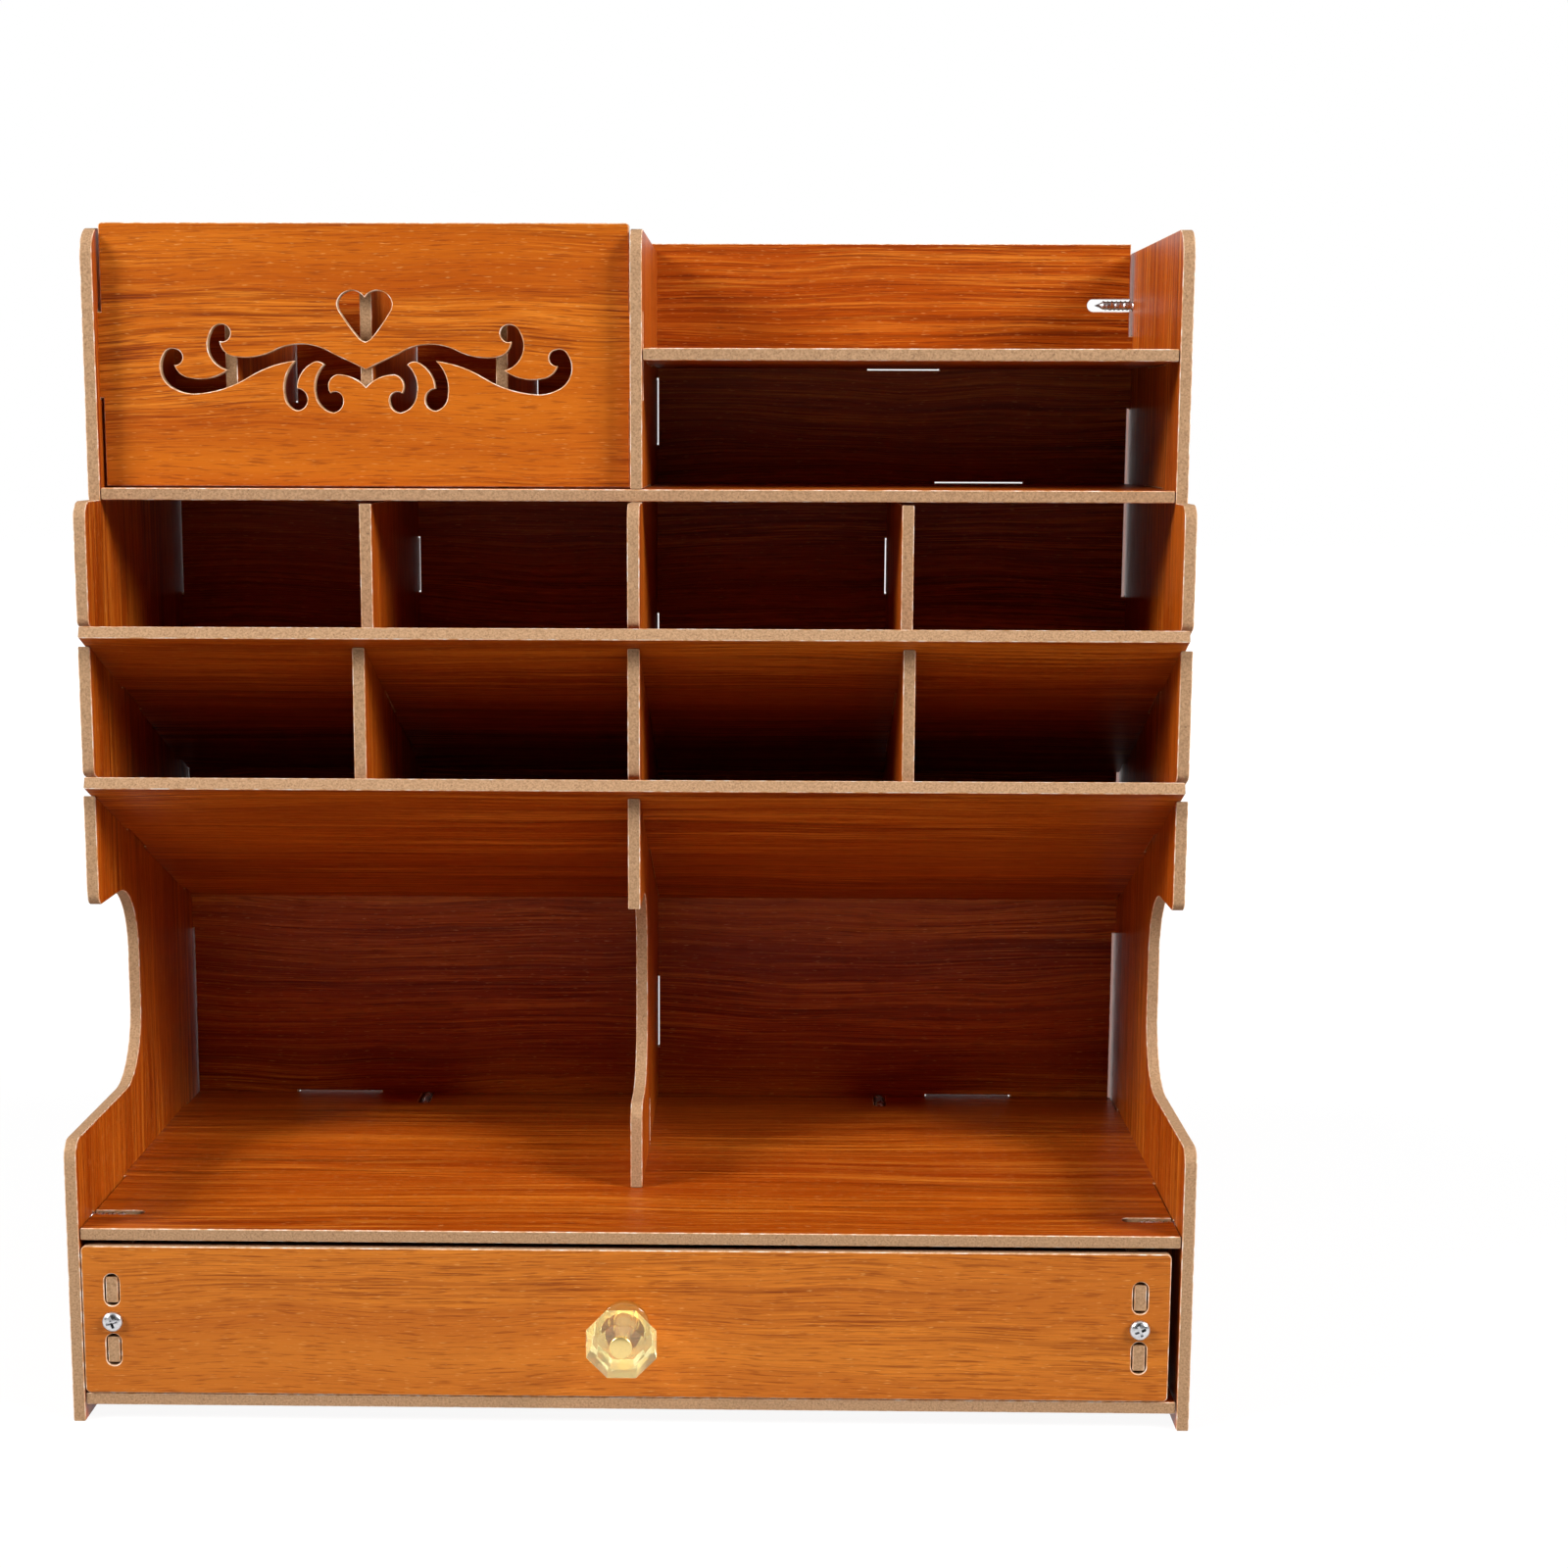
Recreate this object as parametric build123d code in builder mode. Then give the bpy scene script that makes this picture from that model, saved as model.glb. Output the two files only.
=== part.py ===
"""Desk organizer of laminated board: heart-cut box, open shelf, sloped pen tiers, two bays and a drawer.

Every board is one thickness. Boards meet in through tenons, cross laps and screws that lie in slots.
X runs to the right, Y to the back and Z up, with the origin under the middle of the whole object.
"""
import math
import os

from build123d import *

# Boards and fits
board = 3.6
fit = 0.2
back_fit = 0.45
end_gap = 0.4
tenon_recess = 0.2
overrun = 5.0

# Overall width and depth of the side panels, and where the back panel stands in them
overall_width = 330.0
panel_depth = 175.0
back_inset = 6.4
back_gap_left = 0.4
back_gap_right = 1.2

# Heights, stacked from the surface that it stands on
foot_height = 5.0
drawer_bay_height = 47.0
large_bay_height = 125.9
tier_pitch = 44.7
pen_bay_height = 39.5
top_box_height = 76.6
shelf_rise = 38.0
back_panel_foot = 1.5
back_panel_rise = 2.5
heart_panel_rise = 1.5

# Side outline: how far each front edge stands behind the lowest one, and the cut-out above the wall
pen_setback = 37.8
top_setback = 56.7
wall_rise = 26.3
recess_depth = 85.5
recess_web = 13.8
recess_radius = 22.5
nose_radius = 5.5
lip_radius = 3.5
top_radius = 8.5
centre_setback = 47.0

# Sloped boards: their fall to the back, their front edge, and their slots in the side panels
slope_angle = 22.6
sloped_setback = 30.8
ear_recess = 2.0
mouth_headroom = 2.3
mouth_radius = 2.5
ear_end_share = 0.34
sloped_tenon_shares = (0.505, 0.925)
lap_share = 0.5

# Tenons along the edges of the level boards and upright panels
floor_tenon_shares = (0.34, 0.89)
top_tenon_shares = (0.26, 0.63)
back_tenon_shares = (0.597, 0.777)
shelf_back_tenon_shares = (0.453, 0.598)
heart_tenon_shares = (0.337, 0.665)
back_panel_tenon_shares = ((0.067, 0.136), (0.332, 0.4), (0.597, 0.665), (0.846, 0.914))
centre_top_tenon_shares = (0.17, 0.45)
centre_pen_tenon_shares = (0.30, 0.55)
centre_bay_tenon_shares = (0.25, 0.60)
pen_back_tenon_shares = (0.64, 0.84)
tier_back_tenon_shares = (0.29, 0.73)
pen_foot_tenon_shares = (0.36, 0.52)
pen_head_tenon_shares = (0.66, 0.82)
cell_back_tenon_shares = (0.40, 0.70)
cell_foot_tenon_shares = (0.36, 0.62)

# Level boards, dividers and heart panel
board_front_inset = 0.5
heart_setback = 5.2
heart_end_gap = 0.9
heart_foot_gap = 0.5
heart_corner_radius = 1.0
divider_head_gap = 0.9
cell_divider_drop = 9.6

# Screws, drawn with few sides, and the slots that they lie in
screw_sides = 10
screw_diameter = 3.2
screw_head_diameter = 6.1
screw_head_height = 2.1
slot_length = 15.0
slot_width = 4.2
side_screw_inset = 17.0
back_screw_share = 0.493
centre_screw_share = 0.598
back_screw_height_shares = (0.038, 0.943)

# Drawer
drawer_gap_left = 0.4
drawer_gap_right = 2.9
drawer_gap_low = 0.3
drawer_gap_top = 1.7
drawer_gap_back = 5.0
drawer_wall_height = 40.0
drawer_side_inset = 8.75
drawer_corner_radius = 1.5
drawer_bottom_rise = 2.1
drawer_bottom_tenon_shares = (0.3, 0.7)
drawer_mortise_width = 4.5
drawer_mortise_length = 9.8
drawer_tenon_height = 7.6
drawer_tenon_centre_shares = (0.333, 0.792)
drawer_screw_share = 0.553

# Knob: a round foot and neck, a faceted head and a round cap on its bolt
knob_foot_diameter = 14.6
knob_foot_height = 2.6
knob_neck_diameter = 9.0
knob_neck_height = 3.6
knob_back_width = 12.5
knob_flare_height = 11.3
knob_width = 20.4
knob_bevel_height = 2.5
knob_face_width = 13.4
knob_sides = 8
cap_diameter = 6.5
cap_height = 1.0
bolt_diameter = 4.0
bolt_tail = 8.6
nut_width = 7.0
nut_height = 3.2
washer_diameter = 9.0
washer_height = 0.8

# Heart and scroll: the scroll's half length, and how far its top notch stands above the panel's foot
scroll_half_length = 61.8
scroll_rise = 34.7

# Outline of the left half as shares of the scroll's half length: out from the middle, up from the notch.
# Every arc of a stretch runs through three of its points and ends where the next one starts.
scroll_stretch_shares = (
    ((0.0, 0.0), (0.08, 0.039), (0.16, 0.076), (0.305, 0.12), (0.45, 0.087), (0.55, 0.058), (0.64, 0.06),
     (0.688, 0.086), (0.709, 0.134)),
    ((0.709, 0.134), (0.66, 0.153), (0.685, 0.212), (0.723, 0.209), (0.751, 0.178), (0.761, 0.075),
     (0.672, -0.003)),
    ((0.672, -0.003), (0.755, -0.042), (0.855, -0.043), (0.905, -0.022), (0.932, 0.019)),
    ((0.932, 0.019), (0.893, 0.044), (0.925, 0.095), (0.957, 0.095), (0.981, 0.073), (0.995, -0.025),
     (0.927, -0.097), (0.88, -0.113), (0.832, -0.117)),
    ((0.832, -0.117), (0.7, -0.094), (0.57, -0.036), (0.46, 0.015), (0.341, 0.042)),
    ((0.341, 0.042), (0.386, -0.022), (0.397, -0.124), (0.379, -0.171), (0.339, -0.196), (0.287, -0.15),
     (0.337, -0.091)),
    ((0.337, -0.091), (0.323, -0.032), (0.265, 0.029), (0.235, 0.039), (0.202, 0.023)),
    ((0.202, 0.023), (0.241, -0.036), (0.246, -0.12), (0.216, -0.18), (0.164, -0.206), (0.12, -0.178),
     (0.117, -0.128), (0.14, -0.108), (0.174, -0.113)),
    ((0.174, -0.113), (0.182, -0.062), (0.139, -0.023), (0.07, -0.036), (0.0, -0.083)),
)
heart_stretch_shares = (
    (0.0, 0.341), (0.061, 0.375), (0.133, 0.317), (0.13, 0.292), (0.119, 0.271), (0.077, 0.208),
    (0.032, 0.152), (0.014, 0.138), (0.0, 0.1325),
)

# Worked-out places across the width
half_width = overall_width / 2
inner_x = half_width - board
board_end_x = inner_x - end_gap
tenon_x = half_width - tenon_recess
half_board = board / 2
box_room = inner_x - half_board

# Worked-out places from front to back
knob_head_height = knob_flare_height + knob_bevel_height
knob_reach = knob_foot_height + knob_neck_height + knob_head_height + cap_height
front_y = (knob_reach - panel_depth) / 2
rear_y = front_y + panel_depth
back_y = rear_y - back_inset - board
back_face_y = back_y + board
back_tenon_y = back_face_y - tenon_recess
board_back_y = back_y - fit
board_front_y = front_y + board_front_inset
pen_y = front_y + pen_setback
top_y = front_y + top_setback
heart_y = top_y + heart_setback
recess_y = front_y + recess_depth
sloped_y = front_y + sloped_setback
side_screw_y = front_y + side_screw_inset
back_middle_y = back_y + half_board
base_depth = board_back_y - board_front_y
top_depth = board_back_y - top_y
centre_screw_y = board_front_y + base_depth * centre_screw_share

# Worked-out heights
bottom_z = foot_height
bay_z = bottom_z + board
floor_z = bay_z + drawer_bay_height
floor_top = floor_z + board
lower_sloped_z = floor_top + large_bay_height
upper_sloped_z = lower_sloped_z + tier_pitch
top_floor_z = upper_sloped_z + pen_bay_height
top_floor_top = top_floor_z + board
side_top = top_floor_top + top_box_height
shelf_z = top_floor_top + shelf_rise
wall_top = floor_top + wall_rise
back_panel_top = side_top + back_panel_rise
back_panel_height = back_panel_top - back_panel_foot
heart_foot = top_floor_top + heart_foot_gap
heart_height = side_top + heart_panel_rise - heart_foot
divider_top = top_floor_z - divider_head_gap
cell_foot = top_floor_top + fit
cell_top = side_top - cell_divider_drop

# The slope's measures: the sloped boards end just short of the back panel
slope_sine = math.sin(math.radians(slope_angle))
slope_cosine = math.cos(math.radians(slope_angle))
slope_tangent = slope_sine / slope_cosine
sloped_length = (board_back_y - board * slope_sine - sloped_y) / slope_cosine
lap_length = sloped_length * lap_share

# Screws pass the board that their head lies on and end where the slot's round end starts
screw_length = board + slot_length - slot_width / 2
hole_radius = screw_diameter / 2 + fit

# Places of the dividers
pen_divider_x = half_board + (box_room - board) / 2 + half_board
cell_names = ("left", "middle", "right")
cell_room = (box_room - len(cell_names) * board) / (len(cell_names) + 1)
cell_places = {}
for cell_index, cell_name in enumerate(cell_names):
    cell_places[cell_name] = -inner_x + (cell_index + 1) * (cell_room + board) - half_board

# The drawer's measures
drawer_left = -inner_x + drawer_gap_left
drawer_right = inner_x - drawer_gap_right
drawer_middle = (drawer_left + drawer_right) / 2
drawer_low = bay_z + drawer_gap_low
drawer_front_top = floor_z - drawer_gap_top
drawer_wall_top = drawer_low + drawer_wall_height
drawer_front_back_y = front_y + board
drawer_rear_y = back_y - drawer_gap_back
drawer_back_front_y = drawer_rear_y - board
drawer_side_places = {"left": drawer_left + drawer_side_inset, "right": drawer_right - drawer_side_inset}
drawer_bottom_z = drawer_low + drawer_bottom_rise
drawer_screw_z = drawer_low + drawer_wall_height * drawer_screw_share
drawer_tenon_centres = [drawer_low + drawer_wall_height * share for share in drawer_tenon_centre_shares]
knob_z = (drawer_low + drawer_front_top) / 2


def part_of(start, end, shares):
    """Return the two places at the given shares of the way from start to end."""
    length = end - start
    return start + length * shares[0], start + length * shares[1]


def under_slope(sloped_z, y):
    """Return the height of a sloped board's underside at y."""
    return sloped_z - (y - sloped_y) * slope_tangent


def over_slope(sloped_z, y):
    """Return the height of a sloped board's upper face at y."""
    return under_slope(sloped_z, y) + board / slope_cosine


# The side cut-out ends below the lower sloped board, with a web of board left between them
recess_top = under_slope(lower_sloped_z, recess_y) - recess_web
recess_round = min(recess_radius, (recess_top - wall_top) / 2 - fit)

# Places of the tenons that more than one piece needs
base_tenon = part_of(board_front_y, board_back_y, floor_tenon_shares)
top_tenon = part_of(top_y, board_back_y, top_tenon_shares)
top_lap_y = top_y + top_depth * lap_share
back_tenon = part_of(0, inner_x, back_tenon_shares)
shelf_back_tenon = part_of(0, inner_x, shelf_back_tenon_shares)
heart_tenon = part_of(heart_foot, heart_foot + heart_height, heart_tenon_shares)
sloped_tenon = part_of(0, sloped_length, sloped_tenon_shares)
pen_foot_tenon = part_of(0, sloped_length, pen_foot_tenon_shares)
pen_head_tenon = part_of(0, sloped_length, pen_head_tenon_shares)
cell_back_tenon = part_of(cell_foot, cell_top, cell_back_tenon_shares)
cell_foot_tenon = part_of(heart_y + board, back_y, cell_foot_tenon_shares)
back_panel_tenons = [
    part_of(back_panel_foot, back_panel_top, shares) for shares in back_panel_tenon_shares
]
back_screw_heights = [back_panel_foot + back_panel_height * share for share in back_screw_height_shares]
back_screw_x = inner_x * back_screw_share
centre_back_tenons = [
    part_of(top_floor_top, side_top, centre_top_tenon_shares),
    part_of(over_slope(upper_sloped_z, back_y), top_floor_z, centre_pen_tenon_shares),
    part_of(floor_top, under_slope(lower_sloped_z, back_y), centre_bay_tenon_shares),
]
pen_back_tenon = part_of(over_slope(upper_sloped_z, back_y), divider_top, pen_back_tenon_shares)
tier_back_tenon = part_of(
    over_slope(lower_sloped_z, back_y), under_slope(upper_sloped_z, back_y), tier_back_tenon_shares
)
drawer_bottom_tenon = part_of(drawer_front_back_y, drawer_back_front_y, drawer_bottom_tenon_shares)


def facing_plane(y):
    """Return the upright plane at y that faces the front, with X to the right and Z up."""
    return Plane.XZ.offset(-y)


def sloped_plane(sloped_z):
    """Return the underside plane of a sloped board: X to the right, then down along the slope."""
    return Plane(origin=(0, sloped_y, sloped_z), x_dir=(1, 0, 0), z_dir=(0, slope_sine, slope_cosine))


def strip(low_x, high_x, low_y, high_y, mode=Mode.ADD):
    """Draw a rectangle in the open sketch by its four edges."""
    with Locations(((low_x + high_x) / 2, (low_y + high_y) / 2)):
        Rectangle(high_x - low_x, high_y - low_y, mode=mode)


def mortise(low_x, high_x, low_y, high_y, room=fit):
    """Cut the mortise for a tenon with the given edges, with its room all round."""
    strip(low_x - room, high_x + room, low_y - room, high_y + room, Mode.SUBTRACT)


def sloped_strip(sloped_z, start, end, low, high, mode=Mode.ADD):
    """Draw a strip in a side view: from start to end along a slope, low to high above its underside."""
    along = (start + end) / 2
    above = (low + high) / 2
    y = sloped_y + along * slope_cosine + above * slope_sine
    z = sloped_z - along * slope_sine + above * slope_cosine
    with Locations((y, z)):
        Rectangle(end - start, high - low, rotation=-slope_angle, mode=mode)


def screw_slot(x, y, turn):
    """Cut a round-ended slot that runs in from a board's end at the given place."""
    with Locations((x, y)):
        SlotOverall(2 * slot_length, slot_width, rotation=turn, mode=Mode.SUBTRACT)


def screw_holes(*places):
    """Cut clearance holes for screws in the open sketch."""
    with Locations(*places):
        Circle(hole_radius, mode=Mode.SUBTRACT)


def round_corner(sketch, place, radius):
    """Round the corner of an open sketch that is nearest to the place."""
    fillet(sketch.vertices().sort_by_distance(Vector(*place))[0], radius)


def round_mouth(sketch, sloped_z):
    """Round the upper lip of the slot that a sloped board enters from the front."""
    lip_z = under_slope(sloped_z, pen_y) + (board + mouth_headroom) / slope_cosine
    round_corner(sketch, (pen_y, lip_z), mouth_radius)


def save(piece, name):
    """Label a finished piece and write it under its name."""
    piece.part.label = name
    export_step(piece.part, f"parts/{name}.step")


def side_panel(outer_x, own_mortise):
    """Make a side panel: the stepped outline, its sloped slots, mortises and screw holes."""
    with BuildPart() as panel:
        with BuildSketch(Plane.YZ.offset(outer_x)) as outline:
            with BuildLine():
                Polyline(
                    (front_y, 0), (front_y, wall_top), (recess_y, wall_top), (recess_y, recess_top),
                    (pen_y, recess_top), (pen_y, top_floor_z), (top_y, top_floor_z), (top_y, side_top),
                    (rear_y, side_top), (rear_y, 0), close=True,
                )
            make_face()
            round_corner(outline, (front_y, wall_top), nose_radius)
            round_corner(outline, (recess_y, wall_top), recess_round)
            round_corner(outline, (recess_y, recess_top), recess_round)
            round_corner(outline, (pen_y, recess_top), lip_radius)
            round_corner(outline, (pen_y, top_floor_z), nose_radius)
            round_corner(outline, (top_y, side_top), top_radius)
            for sloped_z in (lower_sloped_z, upper_sloped_z):
                sloped_strip(
                    sloped_z, -overrun, sloped_length * ear_end_share + fit,
                    -fit, board + mouth_headroom, Mode.SUBTRACT,
                )
                round_mouth(outline, sloped_z)
                sloped_strip(
                    sloped_z, sloped_tenon[0] - fit, sloped_tenon[1] + fit, -fit, board + fit, Mode.SUBTRACT
                )
            for base_z in (bottom_z, floor_z):
                mortise(*base_tenon, base_z, base_z + board)
                screw_holes((side_screw_y, base_z + half_board))
            mortise(*top_tenon, top_floor_z, top_floor_top)
            mortise(*own_mortise)
            for tenon in back_panel_tenons:
                mortise(back_y, back_face_y, *tenon)
            for screw_z in back_screw_heights:
                screw_holes((back_middle_y, screw_z))
        extrude(amount=board)
    return panel


def base_board(base_z):
    """Make a board that runs from side to side and from the front to the back panel."""
    with BuildPart() as base:
        with BuildSketch(Plane.XY.offset(base_z)):
            strip(-board_end_x, board_end_x, board_front_y, board_back_y)
            strip(-tenon_x, tenon_x, *base_tenon)
            for side in (-1, 1):
                tenon = sorted((side * back_tenon[0], side * back_tenon[1]))
                strip(*tenon, board_back_y - board, back_tenon_y)
                screw_slot(side * board_end_x, side_screw_y, 0)
                screw_slot(side * back_screw_x, board_back_y, 90)
        extrude(amount=board)
    return base


def sloped_board(sloped_z, divider_tenons):
    """Make a sloped board: ears in the side panels' slots, side tenons, a lap and the dividers' mortises."""
    with BuildPart() as sloped:
        with BuildSketch(sloped_plane(sloped_z)):
            strip(-board_end_x, board_end_x, 0, sloped_length)
            ear_x = half_width - ear_recess
            strip(-ear_x, ear_x, 0, sloped_length * ear_end_share)
            strip(-tenon_x, tenon_x, *sloped_tenon)
            lap_x = half_board + fit
            strip(-lap_x, lap_x, lap_length - fit, sloped_length + overrun, Mode.SUBTRACT)
            for side in (-1, 1):
                low_x = side * pen_divider_x - half_board
                for tenon in divider_tenons:
                    mortise(low_x, low_x + board, *tenon)
        extrude(amount=board)
    return sloped


def pen_divider(x, sloped_z, divider_y, tops, board_tenon, tenon_levels, back_tenon_place):
    """Make a pen divider: it stands on a sloped board, with a tenon in the upper one and one behind."""
    with BuildPart() as divider:
        with BuildSketch(Plane.YZ.offset(x - half_board)):
            with BuildLine():
                Polyline(
                    (divider_y, over_slope(sloped_z, divider_y) + fit), (divider_y, tops[0]),
                    (board_back_y, tops[1]), (board_back_y, over_slope(sloped_z, board_back_y) + fit),
                    close=True,
                )
            make_face()
            sloped_strip(upper_sloped_z, *board_tenon, *tenon_levels)
            strip(board_back_y - board, back_tenon_y, *back_tenon_place)
        extrude(amount=board)
    return divider


def cell_divider(x):
    """Make a cell divider of the heart box, with a tenon below and one behind."""
    with BuildPart() as divider:
        with BuildSketch(Plane.YZ.offset(x - half_board)):
            strip(heart_y + board + fit, board_back_y, cell_foot, cell_top)
            strip(*cell_foot_tenon, top_floor_z + tenon_recess, cell_foot + board)
            strip(board_back_y - board, back_tenon_y, *cell_back_tenon)
        extrude(amount=board)
    return divider


def drawer_end(face_y, top_z, shown):
    """Make the drawer's front or back, with mortises and screw holes; the shown one has round corners."""
    with BuildPart() as end:
        with BuildSketch(facing_plane(face_y)) as outline:
            strip(drawer_left, drawer_right, drawer_low, top_z)
            if shown:
                fillet(outline.vertices(), drawer_corner_radius)
            for side_x in drawer_side_places.values():
                for centre_z in drawer_tenon_centres:
                    drawer_mortise(side_x, centre_z, shown)
                screw_holes((side_x, drawer_screw_z))
        extrude(amount=-board)
    return end


def drawer_mortise(x, z, shown):
    """Cut the mortise for one tenon of a drawer side, with round ends where it is shown."""
    if shown:
        with Locations((x, z)):
            SlotOverall(drawer_mortise_length, drawer_mortise_width, rotation=90, mode=Mode.SUBTRACT)
    else:
        half_height = drawer_tenon_height / 2
        mortise(x - half_board, x + half_board, z - half_height, z + half_height)


def drawer_side(x):
    """Make a drawer side, with tenons and screw slots at both ends and the bottom's mortise."""
    with BuildPart() as side:
        with BuildSketch(Plane.YZ.offset(x - half_board)):
            side_front_y = drawer_front_back_y + fit
            side_back_y = drawer_back_front_y - fit
            strip(side_front_y, side_back_y, drawer_low, drawer_wall_top)
            for centre_z in drawer_tenon_centres:
                low_z = centre_z - drawer_tenon_height / 2
                strip(
                    front_y + tenon_recess, drawer_rear_y - tenon_recess, low_z, low_z + drawer_tenon_height
                )
            for end_y in (side_front_y, side_back_y):
                screw_slot(end_y, drawer_screw_z, 0)
            mortise(*drawer_bottom_tenon, drawer_bottom_z, drawer_bottom_z + board)
        extrude(amount=board)
    return side


def screw():
    """Make one pan-head screw that points up, with its head's seat at zero."""
    with BuildPart() as pan_head:
        with BuildSketch(Plane.XY):
            RegularPolygon(screw_head_diameter / 2, screw_sides)
        extrude(amount=-screw_head_height)
        with BuildSketch(Plane.XY):
            RegularPolygon(screw_diameter / 2, screw_sides)
        extrude(amount=screw_length)
    return pan_head


def screw_group(places):
    """Make a group of screws at the given places."""
    with BuildPart() as group:
        with Locations(*places):
            add(one_screw.part)
    return group


os.makedirs("parts", exist_ok=True)

# Side panels: the left one takes the heart panel's tenon, the right one the shelf's
heart_mortise = (heart_y, heart_y + board, *heart_tenon)
shelf_mortise = (*top_tenon, shelf_z, shelf_z + board)
left_side_panel = side_panel(-half_width, heart_mortise)
right_side_panel = side_panel(inner_x, shelf_mortise)
save(left_side_panel, "left_side_panel")
save(right_side_panel, "right_side_panel")

# Centre panel: it stands on the compartment floor and takes every crossing board in a lap
with BuildPart() as centre_panel:
    with BuildSketch(Plane.YZ.offset(-half_board)) as centre_outline:
        centre_y = front_y + centre_setback
        centre_foot = floor_top + fit
        with BuildLine():
            Polyline(
                (centre_y, centre_foot), (centre_y, wall_top), (recess_y, wall_top), (recess_y, recess_top),
                (pen_y, recess_top), (pen_y, top_floor_z - fit), (top_lap_y + fit, top_floor_z - fit),
                (top_lap_y + fit, top_floor_top + fit), (top_y, top_floor_top + fit), (top_y, side_top),
                (board_back_y, side_top), (board_back_y, centre_foot), close=True,
            )
        make_face()
        round_corner(centre_outline, (centre_y, wall_top), nose_radius)
        round_corner(centre_outline, (recess_y, wall_top), recess_round)
        round_corner(centre_outline, (recess_y, recess_top), recess_round)
        round_corner(centre_outline, (pen_y, top_floor_z - fit), nose_radius)
        round_corner(centre_outline, (top_y, side_top), top_radius)
        for centre_sloped_z in (lower_sloped_z, upper_sloped_z):
            sloped_strip(
                centre_sloped_z, -overrun, lap_length + fit, -fit, board + mouth_headroom, Mode.SUBTRACT
            )
            round_mouth(centre_outline, centre_sloped_z)
        for centre_tenon in centre_back_tenons:
            strip(board_back_y - board, back_tenon_y, *centre_tenon)
        mortise(*heart_mortise)
        mortise(*shelf_mortise)
        screw_slot(centre_screw_y, centre_foot, 90)
    extrude(amount=board)
save(centre_panel, "centre_panel")

# Back panel: it stands between the side panels, a little in front of their rear edges
with BuildPart() as back_panel:
    with BuildSketch(facing_plane(back_y)):
        back_left = -inner_x + back_gap_left
        back_right = inner_x - back_gap_right
        strip(back_left, back_right, back_panel_foot, back_panel_top)
        for side_tenon in back_panel_tenons:
            strip(-tenon_x, tenon_x, *side_tenon)
        for back_side in (-1, 1):
            board_tenon = sorted((back_side * back_tenon[0], back_side * back_tenon[1]))
            for level_z in (bottom_z, floor_z, top_floor_z):
                mortise(*board_tenon, level_z, level_z + board, back_fit)
            for base_z in (bottom_z, floor_z):
                screw_holes((back_side * back_screw_x, base_z + half_board))
            for slot_z in back_screw_heights:
                screw_slot(back_side * board_end_x, slot_z, 0)
            pen_low_x = back_side * pen_divider_x - half_board
            mortise(pen_low_x, pen_low_x + board, *pen_back_tenon, back_fit)
            mortise(pen_low_x, pen_low_x + board, *tier_back_tenon, back_fit)
        mortise(*shelf_back_tenon, shelf_z, shelf_z + board, back_fit)
        for centre_tenon in centre_back_tenons:
            mortise(-half_board, half_board, *centre_tenon, back_fit)
        for cell_x in cell_places.values():
            mortise(cell_x - half_board, cell_x + half_board, *cell_back_tenon, back_fit)
    extrude(amount=-board)
save(back_panel, "back_panel")

# Bottom board under the drawer, and the compartment floor over it with the centre panel's screw hole
bottom_board = base_board(bottom_z)
save(bottom_board, "bottom_board")
with BuildPart() as compartment_floor:
    add(base_board(floor_z).part)
    with BuildSketch(Plane.XY.offset(floor_z)):
        with Locations((0, centre_screw_y)):
            Circle(hole_radius)
    extrude(amount=board, mode=Mode.SUBTRACT)
save(compartment_floor, "compartment_floor")

# Sloped boards
lower_sloped_board = sloped_board(lower_sloped_z, [])
upper_sloped_board = sloped_board(upper_sloped_z, [pen_foot_tenon, pen_head_tenon])
save(lower_sloped_board, "lower_sloped_board")
save(upper_sloped_board, "upper_sloped_board")

# Top floor board under the heart box, lapped with the centre panel from the back
with BuildPart() as top_floor_board:
    with BuildSketch(Plane.XY.offset(top_floor_z)):
        strip(-board_end_x, board_end_x, top_y, board_back_y)
        strip(-tenon_x, tenon_x, *top_tenon)
        for floor_side in (-1, 1):
            floor_tenon = sorted((floor_side * back_tenon[0], floor_side * back_tenon[1]))
            strip(*floor_tenon, board_back_y - board, back_tenon_y)
        strip(-half_board - fit, half_board + fit, top_lap_y - fit, board_back_y + overrun, Mode.SUBTRACT)
        for cell_x in cell_places.values():
            mortise(cell_x - half_board, cell_x + half_board, *cell_foot_tenon)
    extrude(amount=board)
save(top_floor_board, "top_floor_board")

# Top shelf, from the centre panel to the right side panel
with BuildPart() as top_shelf:
    with BuildSketch(Plane.XY.offset(shelf_z)):
        strip(half_board + end_gap, board_end_x, top_y, board_back_y)
        strip(-half_board + tenon_recess, tenon_x, *top_tenon)
        strip(*shelf_back_tenon, board_back_y - board, back_tenon_y)
    extrude(amount=board)
save(top_shelf, "top_shelf")

# Heart and scroll cut-out, drawn as its left half and mirrored
heart_left = -inner_x + heart_end_gap
heart_right = -half_board - end_gap
ornament_plane = Plane(
    origin=((heart_left + heart_right) / 2, heart_y, heart_foot + scroll_rise),
    x_dir=(1, 0, 0), z_dir=(0, -1, 0),
)


def left_half(shares):
    """Return the points of a stretch of the ornament's left half."""
    return [(-out * scroll_half_length, up * scroll_half_length) for out, up in shares]


def arcs_through(points):
    """Draw arcs through the points, three to an arc, in the open line."""
    for start in range(0, len(points) - 2, 2):
        ThreePointArc(*points[start:start + 3])


with BuildSketch(ornament_plane) as scroll:
    with BuildLine():
        for stretch in scroll_stretch_shares:
            arcs_through(left_half(stretch))
        Line(left_half(scroll_stretch_shares[-1])[-1], left_half(scroll_stretch_shares[0])[0])
    make_face()
    mirror(about=Plane.YZ)

with BuildSketch(ornament_plane) as heart:
    with BuildLine():
        heart_points = left_half(heart_stretch_shares)
        arcs_through(heart_points)
        Line(heart_points[-1], heart_points[0])
    make_face()
    mirror(about=Plane.YZ)

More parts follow.
